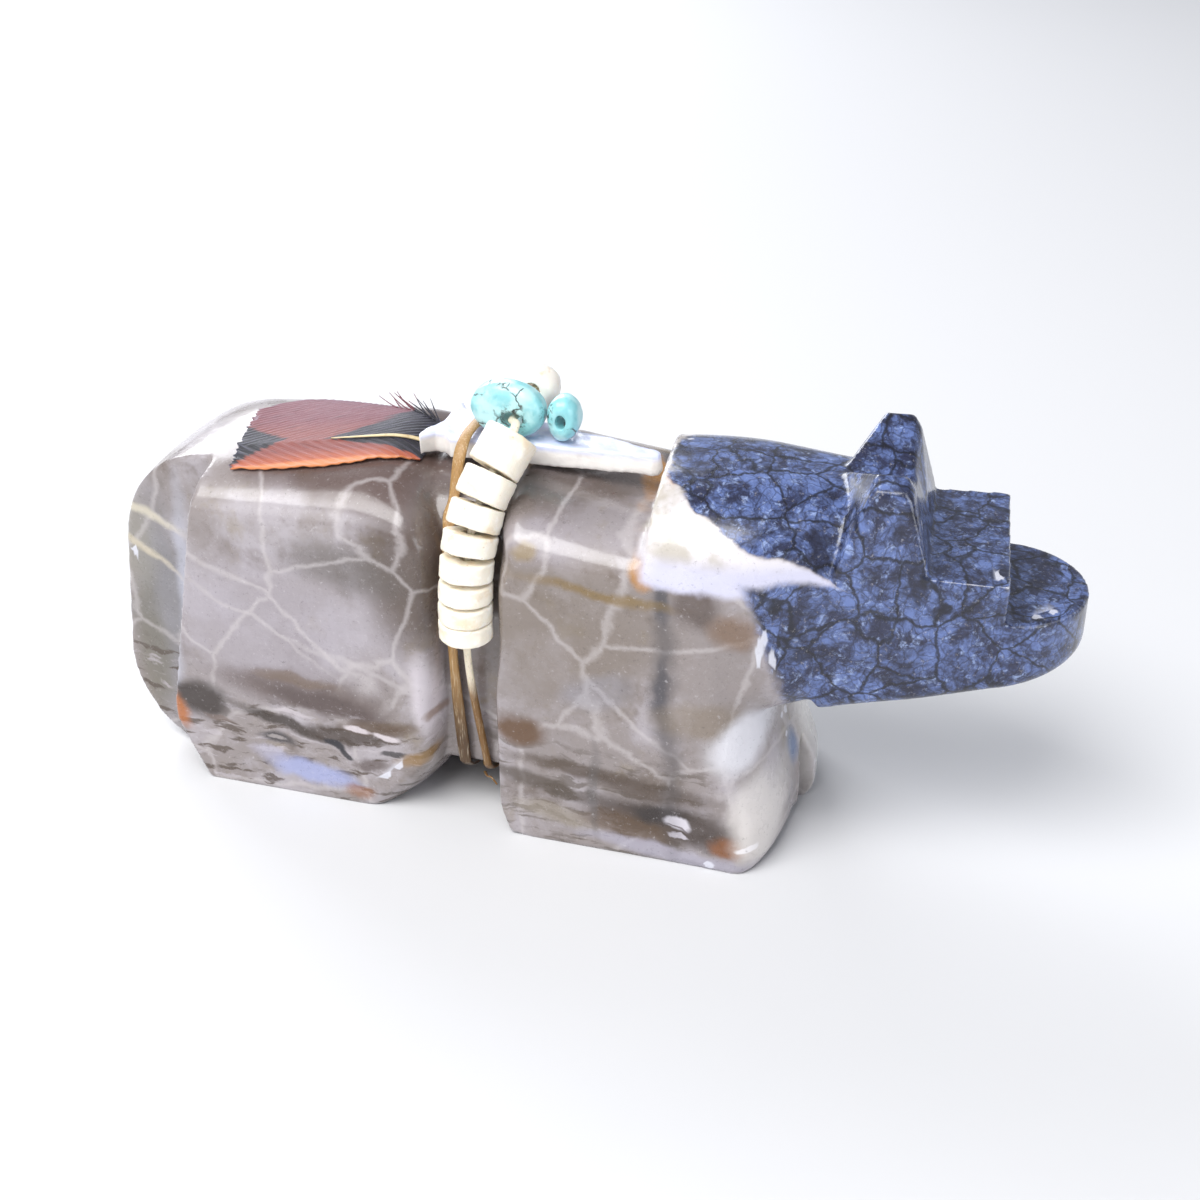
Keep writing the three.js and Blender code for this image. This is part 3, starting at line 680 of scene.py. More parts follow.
# Low on the haunches: a brown lens, dark wavering streaks with white slots, black flecks
low_hind = marble.both(marble.rise(marble.along((0, 0, 1), where=flank), 8.8, 6.6), marble.rise(marble.along((1, 0, 0), where=flank), -6.5, -9.5))
streaks = marble.cloud(1.0, 3, 0.55, where=marble.vector("MULTIPLY", flank, (0.3, 1, 1.35)), seed=2)
patch("5b4c47", -18.3, 9.0, 6.6, 1.45, 6, 0.85)
patch("4a3b38", -16.5, 8.4, 4.6, 0.8, 8, 0.75)
patch("6d5a4a", -18.8, 10.1, 3.2, 0.45, 4, 0.6)
marble.lay("4a3c31", marble.math("MULTIPLY", marble.both(low_hind, marble.rise(streaks, 0.54, 0.62)), 0.85))
marble.lay("b5adb2", marble.math("MULTIPLY", marble.both(low_hind, marble.rise(streaks, 0.42, 0.34)), 0.6))
patch("2b1f18", -26.6, 6.9, 2.0, 1.5, 0, 0.95)
patch("a45d1c", -28.2, 5.7, 0.7, 1.5, -20, 0.9)
patch("6b5a52", -25.3, 5.6, 0.9, 0.3, 0, 0.7)
patch("2e2219", -20.2, 6.1, 3.8, 0.5, 14, 0.9)
patch("3a2c22", -15.2, 5.9, 3.2, 0.75, -4, 0.85)
patch("54402f", -12.4, 7.1, 2.8, 0.7, -8, 0.85)
patch("cdc3c6", -14.2, 6.6, 0.95, 0.26, 4, 0.9, 0.3)
patch("cdc3c6", -11.9, 6.4, 1.15, 0.3, 4, 0.9, 0.3)
patch("b9b0b4", -19.3, 7.1, 1.4, 0.22, 8, 0.7, 0.3)
patch("17161f", -16.0, 5.0, 0.85, 0.42, 22, 0.95, 0.3)
patch("1b1a22", -15.1, 4.3, 0.75, 0.3, 30, 0.9, 0.3)
patch("282429", -20.9, 4.5, 1.5, 0.5, 8, 0.85)
patch("9a9290", -20.9, 4.5, 0.9, 0.2, 8, 0.8, 0.3)
patch("2e2a2c", -11.3, 4.9, 0.9, 0.24, -6, 0.85, 0.3)
patch("3f2a1c", -13.2, 3.6, 1.3, 0.6, -12, 0.7)
patch("9aa0c6", -18.0, 2.0, 3.4, 0.85, 8, 0.9)
patch("a9a6ba", -21.5, 3.0, 1.6, 0.6, 10, 0.5)
patch("8a6a3a", -9.7, 4.6, 1.5, 0.5, -14, 0.7)
patch("8d5a33", -14.3, 0.9, 1.2, 0.6, 0, 0.6)
patch("c8c0c6", -8.7, 9.6, 1.0, 3.4, -6, 0.8)
patch("6f4e2c", -8.2, 8.2, 0.7, 0.5, 0, 0.6)

# The shoulders: beds of brown low on the foreleg, a dark lens with two white pits
low_fore = marble.both(marble.rise(marble.along((0, 0, 1), where=flank), 9.6, 7.2), marble.rise(marble.along((1, 0, 0), where=flank), -5, -3), marble.rise(marble.along((1, 0, 0), where=flank), 13.5, 10.5))
marble.lay("51463b", marble.math("MULTIPLY", marble.both(low_fore, marble.rise(streaks, 0.5, 0.6)), 0.7))
patch("5c4026", -1.8, 9.1, 1.8, 0.95, 2, 0.95)
patch("4f4136", 2.3, 6.9, 4.4, 0.55, 2, 0.8)
patch("463a2f", 0.2, 5.1, 4.6, 0.6, 10, 0.75)
patch("4b3d33", 7.4, 6.1, 4.6, 0.85, 6, 0.8)
patch("8f8577", 1.0, 2.6, 3.0, 0.9, 8, 0.6)
patch("3b2e27", 9.3, 3.5, 5.6, 1.5, 5, 0.92)
patch("57412b", 6.2, 2.7, 3.2, 1.1, 5, 0.7)
patch("241c1b", 8.6, 4.1, 1.8, 0.9, 0, 0.85)
patch("7d4b22", 13.4, 2.3, 1.1, 0.9, 10, 0.9)
patch("cfcad2", 9.9, 3.55, 0.95, 0.55, 10, 0.95, 0.25)
patch("c0bac2", 9.9, 2.6, 0.75, 0.18, 2, 0.9, 0.25)
patch("5a4f52", 9.9, 3.2, 0.9, 0.1, 14, 0.8, 0.3)
patch("a29eac", 9.5, 0.9, 6.5, 0.7, 4, 0.75)
# Pale patches low on the near chest front: white stone, partly a painted highlight
patch("d5cfcb", 15.6, 3.6, 1.9, 3.2, -12, 0.85)
patch("e2dedf", 14.7, 2.3, 0.7, 0.3, 0, 0.9, 0.3)

# The long dark vein down the shoulder, the olive bed above, brown and orange by the neck
vein("4a4648", (8.0, 24.6), (9.4, 3.5), 1.5, 0.62, 0.8)
vein("39383f", (8.2, 22.6), (8.4, 19.5), 0.9, 0.75)
vein("3a3940", (8.5, 16.6), (8.8, 11.6), 0.8, 0.7)
vein("54504f", (3.6, 9.0), (3.9, 1.5), 0.6, 0.5)
vein("79602c", (-0.5, 20.8), (9.0, 20.6), 0.75, 0.75)
patch("8a7440", -1.4, 22.6, 1.0, 0.7, 0, 0.6)
patch("8f8f9c", 4.0, 13.2, 2.6, 1.3, -20, 0.35)
patch("7b6c58", 11.3, 12.2, 3.0, 1.2, 0, 0.55)
patch("4d3f38", 10.6, 21.0, 1.5, 1.7, 0, 0.8)
patch("6f4f2b", 13.3, 18.9, 2.0, 1.2, 20, 0.65)
patch("a5732f", 7.0, 22.6, 0.75, 0.95, 0, 0.85)
region("b07c3a", (7.4, -4.2, 26.9), (0.55, 1.6, 0.9), 0.85)

# The chest and the throat: pale stone on the near chest, brightened by a painted highlight
patch("d9d8de", 14.2, 9.9, 2.5, 1.9, -18, 0.85)
region("e4e0da", (16.2, 5.6, 5.5), (2.4, 4.4, 6.5), 0.9)
# A painted shadow: bluish dark at the top of the cleft between the forelegs
region("5e7397", (16.6, -0.6, 6.3), (1.2, 0.9, 1.6), 0.85)

# The neck: a cream wedge that runs forward to a point below the ears, lavender low on it as a painted highlight along
# the neck's rounding
wedge_top = marble.rise(marble.along((1, 0, 2.4), where=close), 73.4, 72.2)
wedge_low = marble.rise(marble.along((0.05, 0, 1), where=close), 22.0, 22.7)
wedge_back = marble.rise(marble.along((1, 0, 0.1), where=close), 8.7, 9.6)
wedge = marble.both(wedge_top, wedge_low, wedge_back)
cream_tone = marble.mix("b9b2a8", "d9d4d6", marble.rise(marble.cloud(2.2, 3, 0.5, seed=12), 0.42, 0.6))
# Lavender low in the wedge is a painted highlight
marble.lay(marble.mix(cream_tone, "c6c5d8", marble.rise(marble.along((0, 0, 1)), 24.2, 22.8)), marble.math("MULTIPLY", wedge, 0.95))

# The head: blue-black, with a light-blue network, black veins and white flecks
past_wedge = marble.rise(marble.along((1, 0, 2.4), where=close), 72.6, 73.2)
past_throat = marble.rise(marble.along((1, 0, 0.33), where=close), 20.6, 21.8)
below = marble.rise(marble.along((0, 0, 1), where=close), 22.6, 22.0)
head_zone = marble.either(past_wedge, marble.math("MULTIPLY", past_throat, below))
blue = marble.mix("262a44", "5f72a6", marble.rise(marble.cloud(1.5, 5, 0.72, where=close, seed=21), 0.4, 0.62))
blue = marble.mix(blue, "9fb2dc", marble.math("MULTIPLY", marble.rise(marble.cloud(0.6, 4, 0.7, where=close, seed=23), 0.54, 0.7), 0.7))
blue = marble.mix(blue, "191a2c", marble.math("MULTIPLY", marble.rise(marble.cloud(2.6, 4, 0.6, where=close, seed=25), 0.52, 0.66), 0.85))
threads = marble.rise(marble.net(0.8, where=close), 0.1, 0.0)
blue = marble.mix(blue, "14152a", marble.math("MULTIPLY", threads, 0.55))
cracks = marble.rise(marble.net(3.4, where=marble.warped(close, 1.0, 1.5)), 0.05, 0.01)
blue = marble.mix(blue, "0e0f1b", marble.math("MULTIPLY", cracks, 0.85))
marble.lay(blue, head_zone)

# Fine salt-and-pepper grain over all of it
grain = marble.cloud(0.32, 3, 0.7)
marble.lay("2b2523", marble.math("MULTIPLY", marble.rise(grain, 0.57, 0.76), 0.4))
marble.lay("d3ced0", marble.math("MULTIPLY", marble.rise(grain, 0.42, 0.24), 0.35))

# Thin edges are painted pale and glassy, a painted highlight where light catches them
edges = marble.rise(marble.node("ShaderNodeNewGeometry").outputs["Pointiness"], 0.53, 0.6)
marble.lay("dfe0ea", marble.math("MULTIPLY", edges, 0.7))

polish = marble.math("ADD", marble.math("MULTIPLY", marble.cloud(2.0, 4, seed=31), 0.25), 0.16)
marble.tree.links.new(polish, marble.shader.inputs["Roughness"])
marble.raise_by(marble.cloud(0.9, 4, 0.6), 0.03)
marble.raise_by(marble.cloud(5.0, 2), 0.25)

wolf.data.materials.clear()
wolf.data.materials.append(marble.done())
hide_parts("wolf_stone")
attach(wolf, "root")

# The arrowhead: a thick slip of white shell, ground to a long blade with two notches at its
# base, its edges left a little uneven by the stone it was rubbed on. It lies on the back.
ARROW_THICKNESS = 1.5
ARROW_BOTTOM_Z = 26.15
ARROW_PLACE = (-10.55, 0.35)
ARROW_TURN = math.radians(-6.5)
ARROW_TILT = math.radians(-0.7)


def slab(name, outline, low, high):
    """A flat piece with the given outline, which may have notches."""
    count = len(outline)
    points = [(x, y, z) for z in (low, high) for x, y in outline]
    sides = [(i, (i + 1) % count, (i + 1) % count + count, i + count) for i in range(count)]
    piece = mesh_piece(name, points, sides + [tuple(range(count)), tuple(range(count, 2 * count))])
    face_outwards(piece.data)
    return piece


def settle(piece, **settings):
    """Applies one modifier to a piece."""
    change = piece.modifiers.new("change", settings.pop("kind"))
    for key, value in settings.items():
        setattr(change, key, value)
    bpy.context.view_layer.update()
    fresh = bpy.data.meshes.new_from_object(piece.evaluated_get(bpy.context.evaluated_depsgraph_get()))
    piece.modifiers.clear()
    piece.data = fresh


def make_uneven(mesh, depth, size, seed=0.0):
    """Hand-work: the surface rises and sinks a little along its own normals."""
    normals = [v.normal.copy() for v in mesh.vertices]
    for v, normal in zip(mesh.vertices, normals):
        v.co += normal * depth * noise.noise(v.co / size + Vector((seed, -seed, 2 * seed)))
    mesh.update()


def lay_down(piece, *nodes, slot):
    """Sets a finished piece down in metres, in place of its plain solids."""
    piece.data.transform(Matrix.Scale(MM, 4) @ Matrix.Translation(-MIDDLE))
    piece.data.shade_smooth()
    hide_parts(*nodes)
    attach(piece, "root")


half_blade = [(16.6, 0.28), (16.2, 0.55), (8.0, 1.9), (2.2, 3.1), (1.4, 2.3), (0.8, 2.35), (0, 3.5), (-0.3, 2.9), (0.1, 0.9)]
arrowhead = slab("arrowhead", half_blade + [(x, -y) for x, y in reversed(half_blade)], 0, ARROW_THICKNESS)
settle(arrowhead, kind="REMESH", mode="VOXEL", voxel_size=0.11)
rub_down(arrowhead.data, 6, lambda p: np.ones(len(p)))
make_uneven(arrowhead.data, 0.16, 2.2, seed=4)
make_uneven(arrowhead.data, 0.05, 0.8, seed=9)
arrowhead.data.transform(
    Matrix.Translation((*ARROW_PLACE, ARROW_BOTTOM_Z))
    @ Matrix.Rotation(ARROW_TURN, 4, "Z")
    @ Matrix.Rotation(ARROW_TILT, 4, "Y")
)

shell = Finish("ground_white_shell", roughness=0.3, coat=0.3, coat_roughness=0.12)
shell.shader.inputs["Subsurface Weight"].default_value = 0.25
shell.shader.inputs["Subsurface Radius"].default_value = (0.9, 0.8, 0.8)
shell.shader.inputs["Subsurface Scale"].default_value = MM
growth = shell.along((0.25, 0.2, 2.2), where=shell.warped(shell.where, 1.2, 3))
shell.lay("e9e4df")
# A painted reflection: the top face of the white shell is tinted lavender
shell.lay("cdd2ec", shell.rise(shell.along((0, 0, 1)), ARROW_BOTTOM_Z + 1.0, ARROW_BOTTOM_Z + 1.5))
shell.lay("f6f2ee", shell.math("MULTIPLY", shell.rise(shell.cloud(0.5, 2, where=shell.node(
    "ShaderNodeCombineXYZ", {0: growth}).outputs[0]), 0.5, 0.7), 0.4))
shell.lay("b9b2b0", shell.math("MULTIPLY", shell.rise(shell.cloud(1.4, 4), 0.58, 0.74), 0.35))
shell.raise_by(shell.cloud(0.25, 3), 0.03)
arrowhead.data.materials.append(shell.done())
lay_down(arrowhead, "shell_arrowhead", slot="shell_arrowhead")

# The feather: the rust-red and black tip of a small wing feather, its vane bent over the
# rump, its quill pushed under the base of the arrowhead; a few loose barbs stand off it.
NEAR_EDGE = [(-23.7, -6.75), (-20.2, -6.4), (-16.2, -5.6), (-12.3, -4.15), (-10.9, -3.3)]
FAR_EDGE = [(-25.6, 1.9), (-22.5, 5.6), (-17, 4.9), (-12.3, 2.7), (-10.9, 1.7)]
QUILL_TIP = Vector((-24.2, -4.4))
QUILL_FOOT = Vector((-11.3, -1.15))
QUILL_SHOWS_FROM = 0.5
VANE_THICKNESS = 0.1
VANE_LIFT = 0.12
BARB_SLANT = math.radians(32)

wolf_surface = BVHTree.FromObject(wolf, bpy.context.evaluated_depsgraph_get())


def stone_height(x, y):
    """How high the stone stands under a place, in millimetres."""
    hit = wolf_surface.ray_cast(Vector((x - MIDDLE.x, y - MIDDLE.y, 60)) * MM, Vector((0, 0, -1)))
    return hit[0].z / MM


def flow(knots, part):
    """The place at a part (0 to 1) of the way along a smooth line through knots."""
    k = [Vector(p) for p in (knots[0], *knots, knots[-1])]
    at = min(max(part, 0), 1) * (len(knots) - 1)
    i = min(int(at), len(knots) - 2)
    t = at - i
    a, b, c, d = k[i : i + 4]
    return 0.5 * ((2 * b) + (c - a) * t + (2 * a - 5 * b + 4 * c - d) * t * t + (3 * b - a - 3 * c + d) * t**3)


dice = np.random.default_rng(11)
barb_rows, barb_columns = 120, 70
vane_points = []
for r in range(barb_rows + 1):
    for c in range(barb_columns + 1):
        u, v = r / barb_rows, c / barb_columns
        a, b = flow(NEAR_EDGE, u), flow(FAR_EDGE, u)
        p = a.lerp(b, v)
        ragged = 0.0
        if u < 0.06:
            ragged = (0.55 * noise.noise(Vector((v * 34, 3.1, 0))) + 0.25 * noise.noise(Vector((v * 90, 8, 0)))) * (1 - u / 0.06)
        p.x += ragged
        off_quill = abs((p - QUILL_TIP).dot(Vector((QUILL_TIP.y - QUILL_FOOT.y, QUILL_FOOT.x - QUILL_TIP.x)).normalized()))
        bow = 0.16 * math.exp(-off_quill / 0.8)
        ripple = 0.035 * math.sin((p.x * math.sin(BARB_SLANT) - off_quill * math.cos(BARB_SLANT)) / 0.24 * math.pi)
        edge_lift = 0.25 * max(1 - v / 0.06, 0) ** 2 * (0.3 + abs(noise.noise(Vector((u * 7, 0, 5)))))
        z = stone_height(p.x, p.y) + VANE_LIFT + bow + ripple + edge_lift
        vane_points.append((p.x, p.y, z))
count = len(vane_points)
wide = barb_columns + 1
under = [(r * wide + c, r * wide + c + 1, (r + 1) * wide + c + 1, (r + 1) * wide + c) for r in range(barb_rows) for c in range(barb_columns)]
rim = [c for c in range(wide)] + [r * wide + barb_columns for r in range(1, barb_rows + 1)]
rim += [barb_rows * wide + c for c in range(barb_columns - 1, -1, -1)] + [r * wide for r in range(barb_rows - 1, 0, -1)]
faces = under + [tuple(i + count for i in f) for f in under]
faces += [(a, b, b + count, a + count) for a, b in zip(rim, rim[1:] + rim[:1])]
feather = mesh_piece("feather_vane", vane_points + [(x, y, z + VANE_THICKNESS) for x, y, z in vane_points], faces)
face_outwards(feather.data)


def strand_skin(name, route, half_wide, half_thick, out_at, sides=10, steps=60):
    """A closed strip along a route, wide across and thin outwards, its size changing along it."""
    places = [flow(route, k / steps) for k in range(steps + 1)]
    rings = []
    for k, place in enumerate(places):
        ahead = (places[min(k + 1, steps)] - places[max(k - 1, 0)]).normalized()
        out = out_at(place)
        out = (out - ahead * out.dot(ahead)).normalized()
        across = ahead.cross(out)
        w, t = half_wide(k / steps), half_thick(k / steps)
        turns = [j / sides * 2 * math.pi for j in range(sides)]
        rings.append([tuple(place + across * w * math.cos(a) + out * t * math.sin(a)) for a in turns])
    return skin(name, rings)


def join(first, others):
    """Makes one piece of several."""
    work = bmesh.new()
    work.from_mesh(first.data)
    for other in others:
        work.from_mesh(other.data)
        bpy.data.objects.remove(other)
    work.to_mesh(first.data)
    work.free()


upwards = lambda place: Vector((0, 0, 1))
quill_route = []
for k in range(12):
    p = QUILL_TIP.lerp(QUILL_FOOT, QUILL_SHOWS_FROM + (1.04 - QUILL_SHOWS_FROM) * k / 11)
    quill_route.append((p.x, p.y, stone_height(p.x, p.y) + VANE_LIFT + 0.32))
quill = strand_skin("quill", quill_route, lambda t: 0.04 + 0.2 * t, lambda t: 0.04 + 0.1 * t, upwards)
loose_barbs = []
for k in range(16):
    part = 0.55 + 0.42 * k / 15
    root = flow(FAR_EDGE, part)
    out = Vector((-0.75 - 0.5 * dice.random(), 0.45 + 0.5 * dice.random())).normalized()
    long = 1.4 + 1.8 * dice.random()
    rise = 0.5 + 0.9 * dice.random()
    route = []
    for t in (0, 0.33, 0.66, 1):
        p = root - out * 0.5 + out * (long + 0.5) * t
        z = stone_height(p.x, p.y) if abs(p.y) < 8 else 22
        route.append((p.x, p.y, z + VANE_LIFT + 0.1 + rise * t**1.7))
    loose_barbs.append(strand_skin("barb", route, lambda t: 0.085 * (1 - t) + 0.015, lambda t: 0.03, upwards, 6, 14))
join(feather, loose_barbs)

vane = Finish("rust_and_black_vane", roughness=0.55)
vane.shader.inputs["Sheen Weight"].default_value = 0.35
vane.shader.inputs["Sheen Roughness"].default_value = 0.4
vane.shader.inputs["Sheen Tint"].default_value = (0.75, 0.72, 0.95, 1)
quill_way = (QUILL_FOOT - QUILL_TIP).normalized()
foot = Vector((QUILL_TIP.x - MIDDLE.x, QUILL_TIP.y - MIDDLE.y))
lengthwise = vane.along((quill_way.x, quill_way.y, 0), -foot.dot(quill_way))
sideways = vane.along((-quill_way.y, quill_way.x, 0), -foot.dot(Vector((-quill_way.y, quill_way.x))))
off_quill = vane.math("ABSOLUTE", sideways)
slant_x, slant_y = math.sin(BARB_SLANT), math.cos(BARB_SLANT)
across_barbs = vane.math("SUBTRACT", vane.math("MULTIPLY", lengthwise, slant_x), vane.math("MULTIPLY", off_quill, slant_y))
down_barbs = vane.math("ADD", vane.math("MULTIPLY", lengthwise, slant_y), vane.math("MULTIPLY", off_quill, slant_x))
barb_place = vane.node("ShaderNodeCombineXYZ", {0: vane.math("MULTIPLY", across_barbs, 1.0), 1: vane.math("MULTIPLY", down_barbs, 0.09)}).outputs[0]
streak = vane.cloud(0.16, 3, 0.6, where=barb_place)
shade = vane.math("MULTIPLY", vane.math("SUBTRACT", vane.cloud(0.3, 2, where=barb_place, seed=2), 0.5), 2.6)
vane.lay("7d3a30")
vane.lay("6e3038", vane.rise(sideways, 1.0, 4.5))
vane.lay("b25a33", vane.math("MULTIPLY", vane.rise(sideways, -0.9, -2.4), 0.8))
vane.lay("3c1a18", vane.math("MULTIPLY", vane.rise(streak, 0.5, 0.75), 0.6))
vane.lay("a9614a", vane.math("MULTIPLY", vane.rise(streak, 0.42, 0.25), 0.4))
tip_wedge = vane.math("SUBTRACT", vane.math("SUBTRACT", 3.4, lengthwise), vane.math("MULTIPLY", vane.math("ABSOLUTE", vane.math("SUBTRACT", sideways, 0.5)), 1.25))
foot_near = vane.math("ADD", vane.math("SUBTRACT", lengthwise, 6.6), vane.math("MULTIPLY", sideways, 3.4))
foot_far = vane.math("SUBTRACT", vane.math("SUBTRACT", lengthwise, 6.2), vane.math("MULTIPLY", sideways, 1.05))
foot_black = vane.math("MINIMUM", foot_near, foot_far)
black = vane.math("MAXIMUM", tip_wedge, foot_black)
vane.lay("15141a", vane.rise(vane.math("ADD", black, shade), -0.25, 0.35))
vane.lay("37364a", vane.both(vane.rise(vane.math("ADD", black, shade), 0.2, 1.0), vane.rise(streak, 0.5, 0.72)))
# Orange-tan along the vane's near edge: its own colour, brightened by a painted highlight
vane.lay("d0834a", vane.math("MULTIPLY", vane.rise(sideways, -2.15, -2.55), 0.75))
vane.raise_by(streak, 0.06)
feather.data.materials.append(vane.done())
lay_down(feather, "feather", slot="feather")

horn = Finish("pale_quill", roughness=0.4)
horn.lay("d9c79c")
horn.lay("a88a5a", horn.rise(horn.cloud(0.8, 3), 0.5, 0.75))
horn.raise_by(horn.cloud(0.2, 2), 0.02)
quill.data.materials.append(horn.done())
quill.data.transform(Matrix.Scale(MM, 4) @ Matrix.Translation(-MIDDLE))
quill.data.shade_smooth()
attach(quill, "root")

# The turquoise: two pale nuggets with dark matrix at their holes, tumbled smooth, lying side
# by side on the arrowhead with the thread running through them across the back.
LARGE_NUGGET_PLACE = (-4.9, -1.45, 29.8)
SMALL_NUGGET_PLACE = (-1.0, -1.1, 29.45)


def turned_bead(name, radius, length, hole, edge, steps=9, segments=64, longest=0.16):
    """A disc or nugget with a drilled hole along its own Z axis."""
    half = length / 2
    across = min(edge, radius - hole - 0.1)
    corners = [(hole, -half)]
    for end in (-1, 1):
        for k in range(steps + 1):
            angle = (k if end < 0 else steps - k) / steps * math.pi / 2
            corners.append((radius - across + across * math.sin(angle), end * (half - edge + edge * math.cos(angle))))
    corners.append((hole, half))
    profile = []
    for a, b in zip(corners, corners[1:] + corners[:1]):
        pieces = max(1, math.ceil(math.dist(a, b) / longest))
        if math.dist(a, b) > 1e-6:
            profile += [(a[0] + (b[0] - a[0]) * k / pieces, a[1] + (b[1] - a[1]) * k / pieces) for k in range(pieces)]
    points, faces = [], []
    for s in range(segments):
        turn = s / segments * 2 * math.pi
        points += [(r * math.cos(turn), r * math.sin(turn), z) for r, z in profile]
    n = len(profile)
    for s in range(segments):
        for k in range(n):
            a, b = s * n + k, s * n + (k + 1) % n
            faces.append((a, b, (b + n) % (segments * n), (a + n) % (segments * n)))
    piece = mesh_piece(name, points, faces)
    face_outwards(piece.data)
    return piece


def nugget(name, radius, length, hole, edge, place, squash, shift=(0, 0)):
    """A tumbled nugget whose hole was drilled off its middle, its axis across the back."""
    piece = turned_bead(name, radius, length, hole, edge)
    for v in piece.data.vertices:
        inward = (radius - math.hypot(v.co.x, v.co.y)) / (radius - hole)
        v.co.x += shift[0] * inward
        v.co.y += shift[1] * inward
    make_uneven(piece.data, 0.12, 1.6, seed=place[0])
    make_uneven(piece.data, 0.03, 0.5, seed=place[0] + 5)
    stretch = Matrix.Diagonal((squash, 1, 1, 1))
    piece.data.transform(Matrix.Translation(place) @ Matrix.Rotation(math.pi / 2, 4, "X") @ stretch)
    return piece


large_nugget = nugget("turquoise_large", 2.0, 2.1, 0.6, 0.8, LARGE_NUGGET_PLACE, 1.36, (0.4, -0.45))
small_nugget = nugget("turquoise_small", 1.6, 2.2, 0.5, 0.9, SMALL_NUGGET_PLACE, 0.72)

turquoise = Finish("pale_turquoise", roughness=0.3, coat=0.35, coat_roughness=0.1)
turquoise.shader.inputs["Subsurface Weight"].default_value = 0.15
turquoise.shader.inputs["Subsurface Radius"].default_value = (0.5, 0.8, 0.8)
turquoise.shader.inputs["Subsurface Scale"].default_value = MM
turquoise.lay("8ccdd2")
turquoise.lay("b9e2e4", turquoise.rise(turquoise.cloud(1.6, 3, seed=1), 0.42, 0.62))
turquoise.lay("74b9bd", turquoise.math("MULTIPLY", turquoise.rise(turquoise.cloud(0.8, 4, seed=4), 0.55, 0.7), 0.5))
stained = turquoise.warped(turquoise.where, 0.5, 0.5)
matrix = turquoise.rise(turquoise.net(1.9, where=stained), 0.05, 0.0)
matrix_here = turquoise.rise(turquoise.cloud(1.3, 2, seed=6), 0.52, 0.62)
turquoise.lay("3a3f38", turquoise.both(matrix, matrix_here))
joint = Vector((-1.95, -2.3, 30.2)) - MIDDLE
large_hole = Vector((-4.35, -2.5, 29.35)) - MIDDLE
dots = turquoise.rise(turquoise.cloud(0.28, 2, seed=8), 0.5, 0.6)
near_joint = turquoise.spot(tuple(joint), (0.35, 1.4, 1.7), edge=0.6)
near_hole = turquoise.spot(tuple(large_hole), (0.95, 0.9, 0.9), edge=0.5)
turquoise.lay("23261f", turquoise.both(dots, turquoise.either(near_joint, near_hole)))
turquoise.raise_by(turquoise.cloud(0.4, 3), 0.02)
turquoise.raise_by(turquoise.both(matrix, matrix_here), -0.04)
for nugget_piece, node in ((large_nugget, "turquoise_bead_large"), (small_nugget, "turquoise_bead_small")):
    nugget_piece.data.materials.append(turquoise.material)
    lay_down(nugget_piece, node, slot="turquoise")
turquoise.done()

# The round white bead: drilled bone-white shell behind the turquoise, with a few tan flecks.
white_bead = turned_bead("round_bead", 1.65, 2.9, 0.6, 1.4)
make_uneven(white_bead.data, 0.08, 1.3, seed=2)
bead_axis = Vector((0, 1, -0.15)).normalized()
white_bead.data.transform(Matrix.Translation((-4.15, 2.6, 29.85)) @ bead_axis.to_track_quat("Z", "X").to_matrix().to_4x4())
bone = Finish("bone_white_bead", roughness=0.32, coat=0.3, coat_roughness=0.12)
bone.shader.inputs["Subsurface Weight"].default_value = 0.2
bone.shader.inputs["Subsurface Radius"].default_value = (1.0, 0.8, 0.6)
bone.shader.inputs["Subsurface Scale"].default_value = MM
bone.lay("f6efe4")
bone.lay("ddc6a6", bone.math("MULTIPLY", bone.rise(bone.cloud(0.9, 4, seed=3), 0.56, 0.72), 0.7))
bone.lay("fbf8f2", bone.math("MULTIPLY", bone.rise(bone.cloud(0.5, 2, seed=5), 0.55, 0.7), 0.5))
bone.raise_by(bone.cloud(0.3, 3), 0.02)
white_bead.data.materials.append(bone.done())
lay_down(white_bead, "white_bead", slot="white_bead")

# The strand: eight sawn and rolled discs of cream shell, threaded close, running down from
# the turquoise over the near edge of the back into the waist. Their rims are a little worn.
HEISHI_RADIUS = 1.87
HEISHI_HOLE = 0.6
HEISHI_EDGE = 0.16
HEISHI_CLEARANCE = 0.05
STRAND_TOP = Vector((-3.95, -5.4, 28.35))
DISC_LENGTHS = (2.75, 2.05, 1.65, 1.42, 1.4, 1.4, 1.4, 1.4)
DISC_LEANS = (39, 33, 27, 18, 8, 2, -1, -1)
DISC_BACKS = (0.37, 0.28, 0.18, 0.1, 0.06, 0.05, 0.03, 0.03)

discs = []
for length, lean, back in zip(DISC_LENGTHS, DISC_LEANS, DISC_BACKS):
    angle = math.radians(lean)
    axis = Vector((-back, -math.sin(angle), -math.cos(angle))).normalized()
    inner = Vector((1, 0, 0)).cross(axis).normalized()
    centre = STRAND_TOP
    if discs:
        above_centre, above_axis, above_inner, above_length = discs[-1]
        touch = HEISHI_RADIUS - HEISHI_EDGE
        centre = above_centre + above_axis * (above_length / 2 + HEISHI_CLEARANCE) + above_inner * touch
        centre = centre + axis * length / 2 - inner * touch
    discs.append((centre, axis, inner, length))

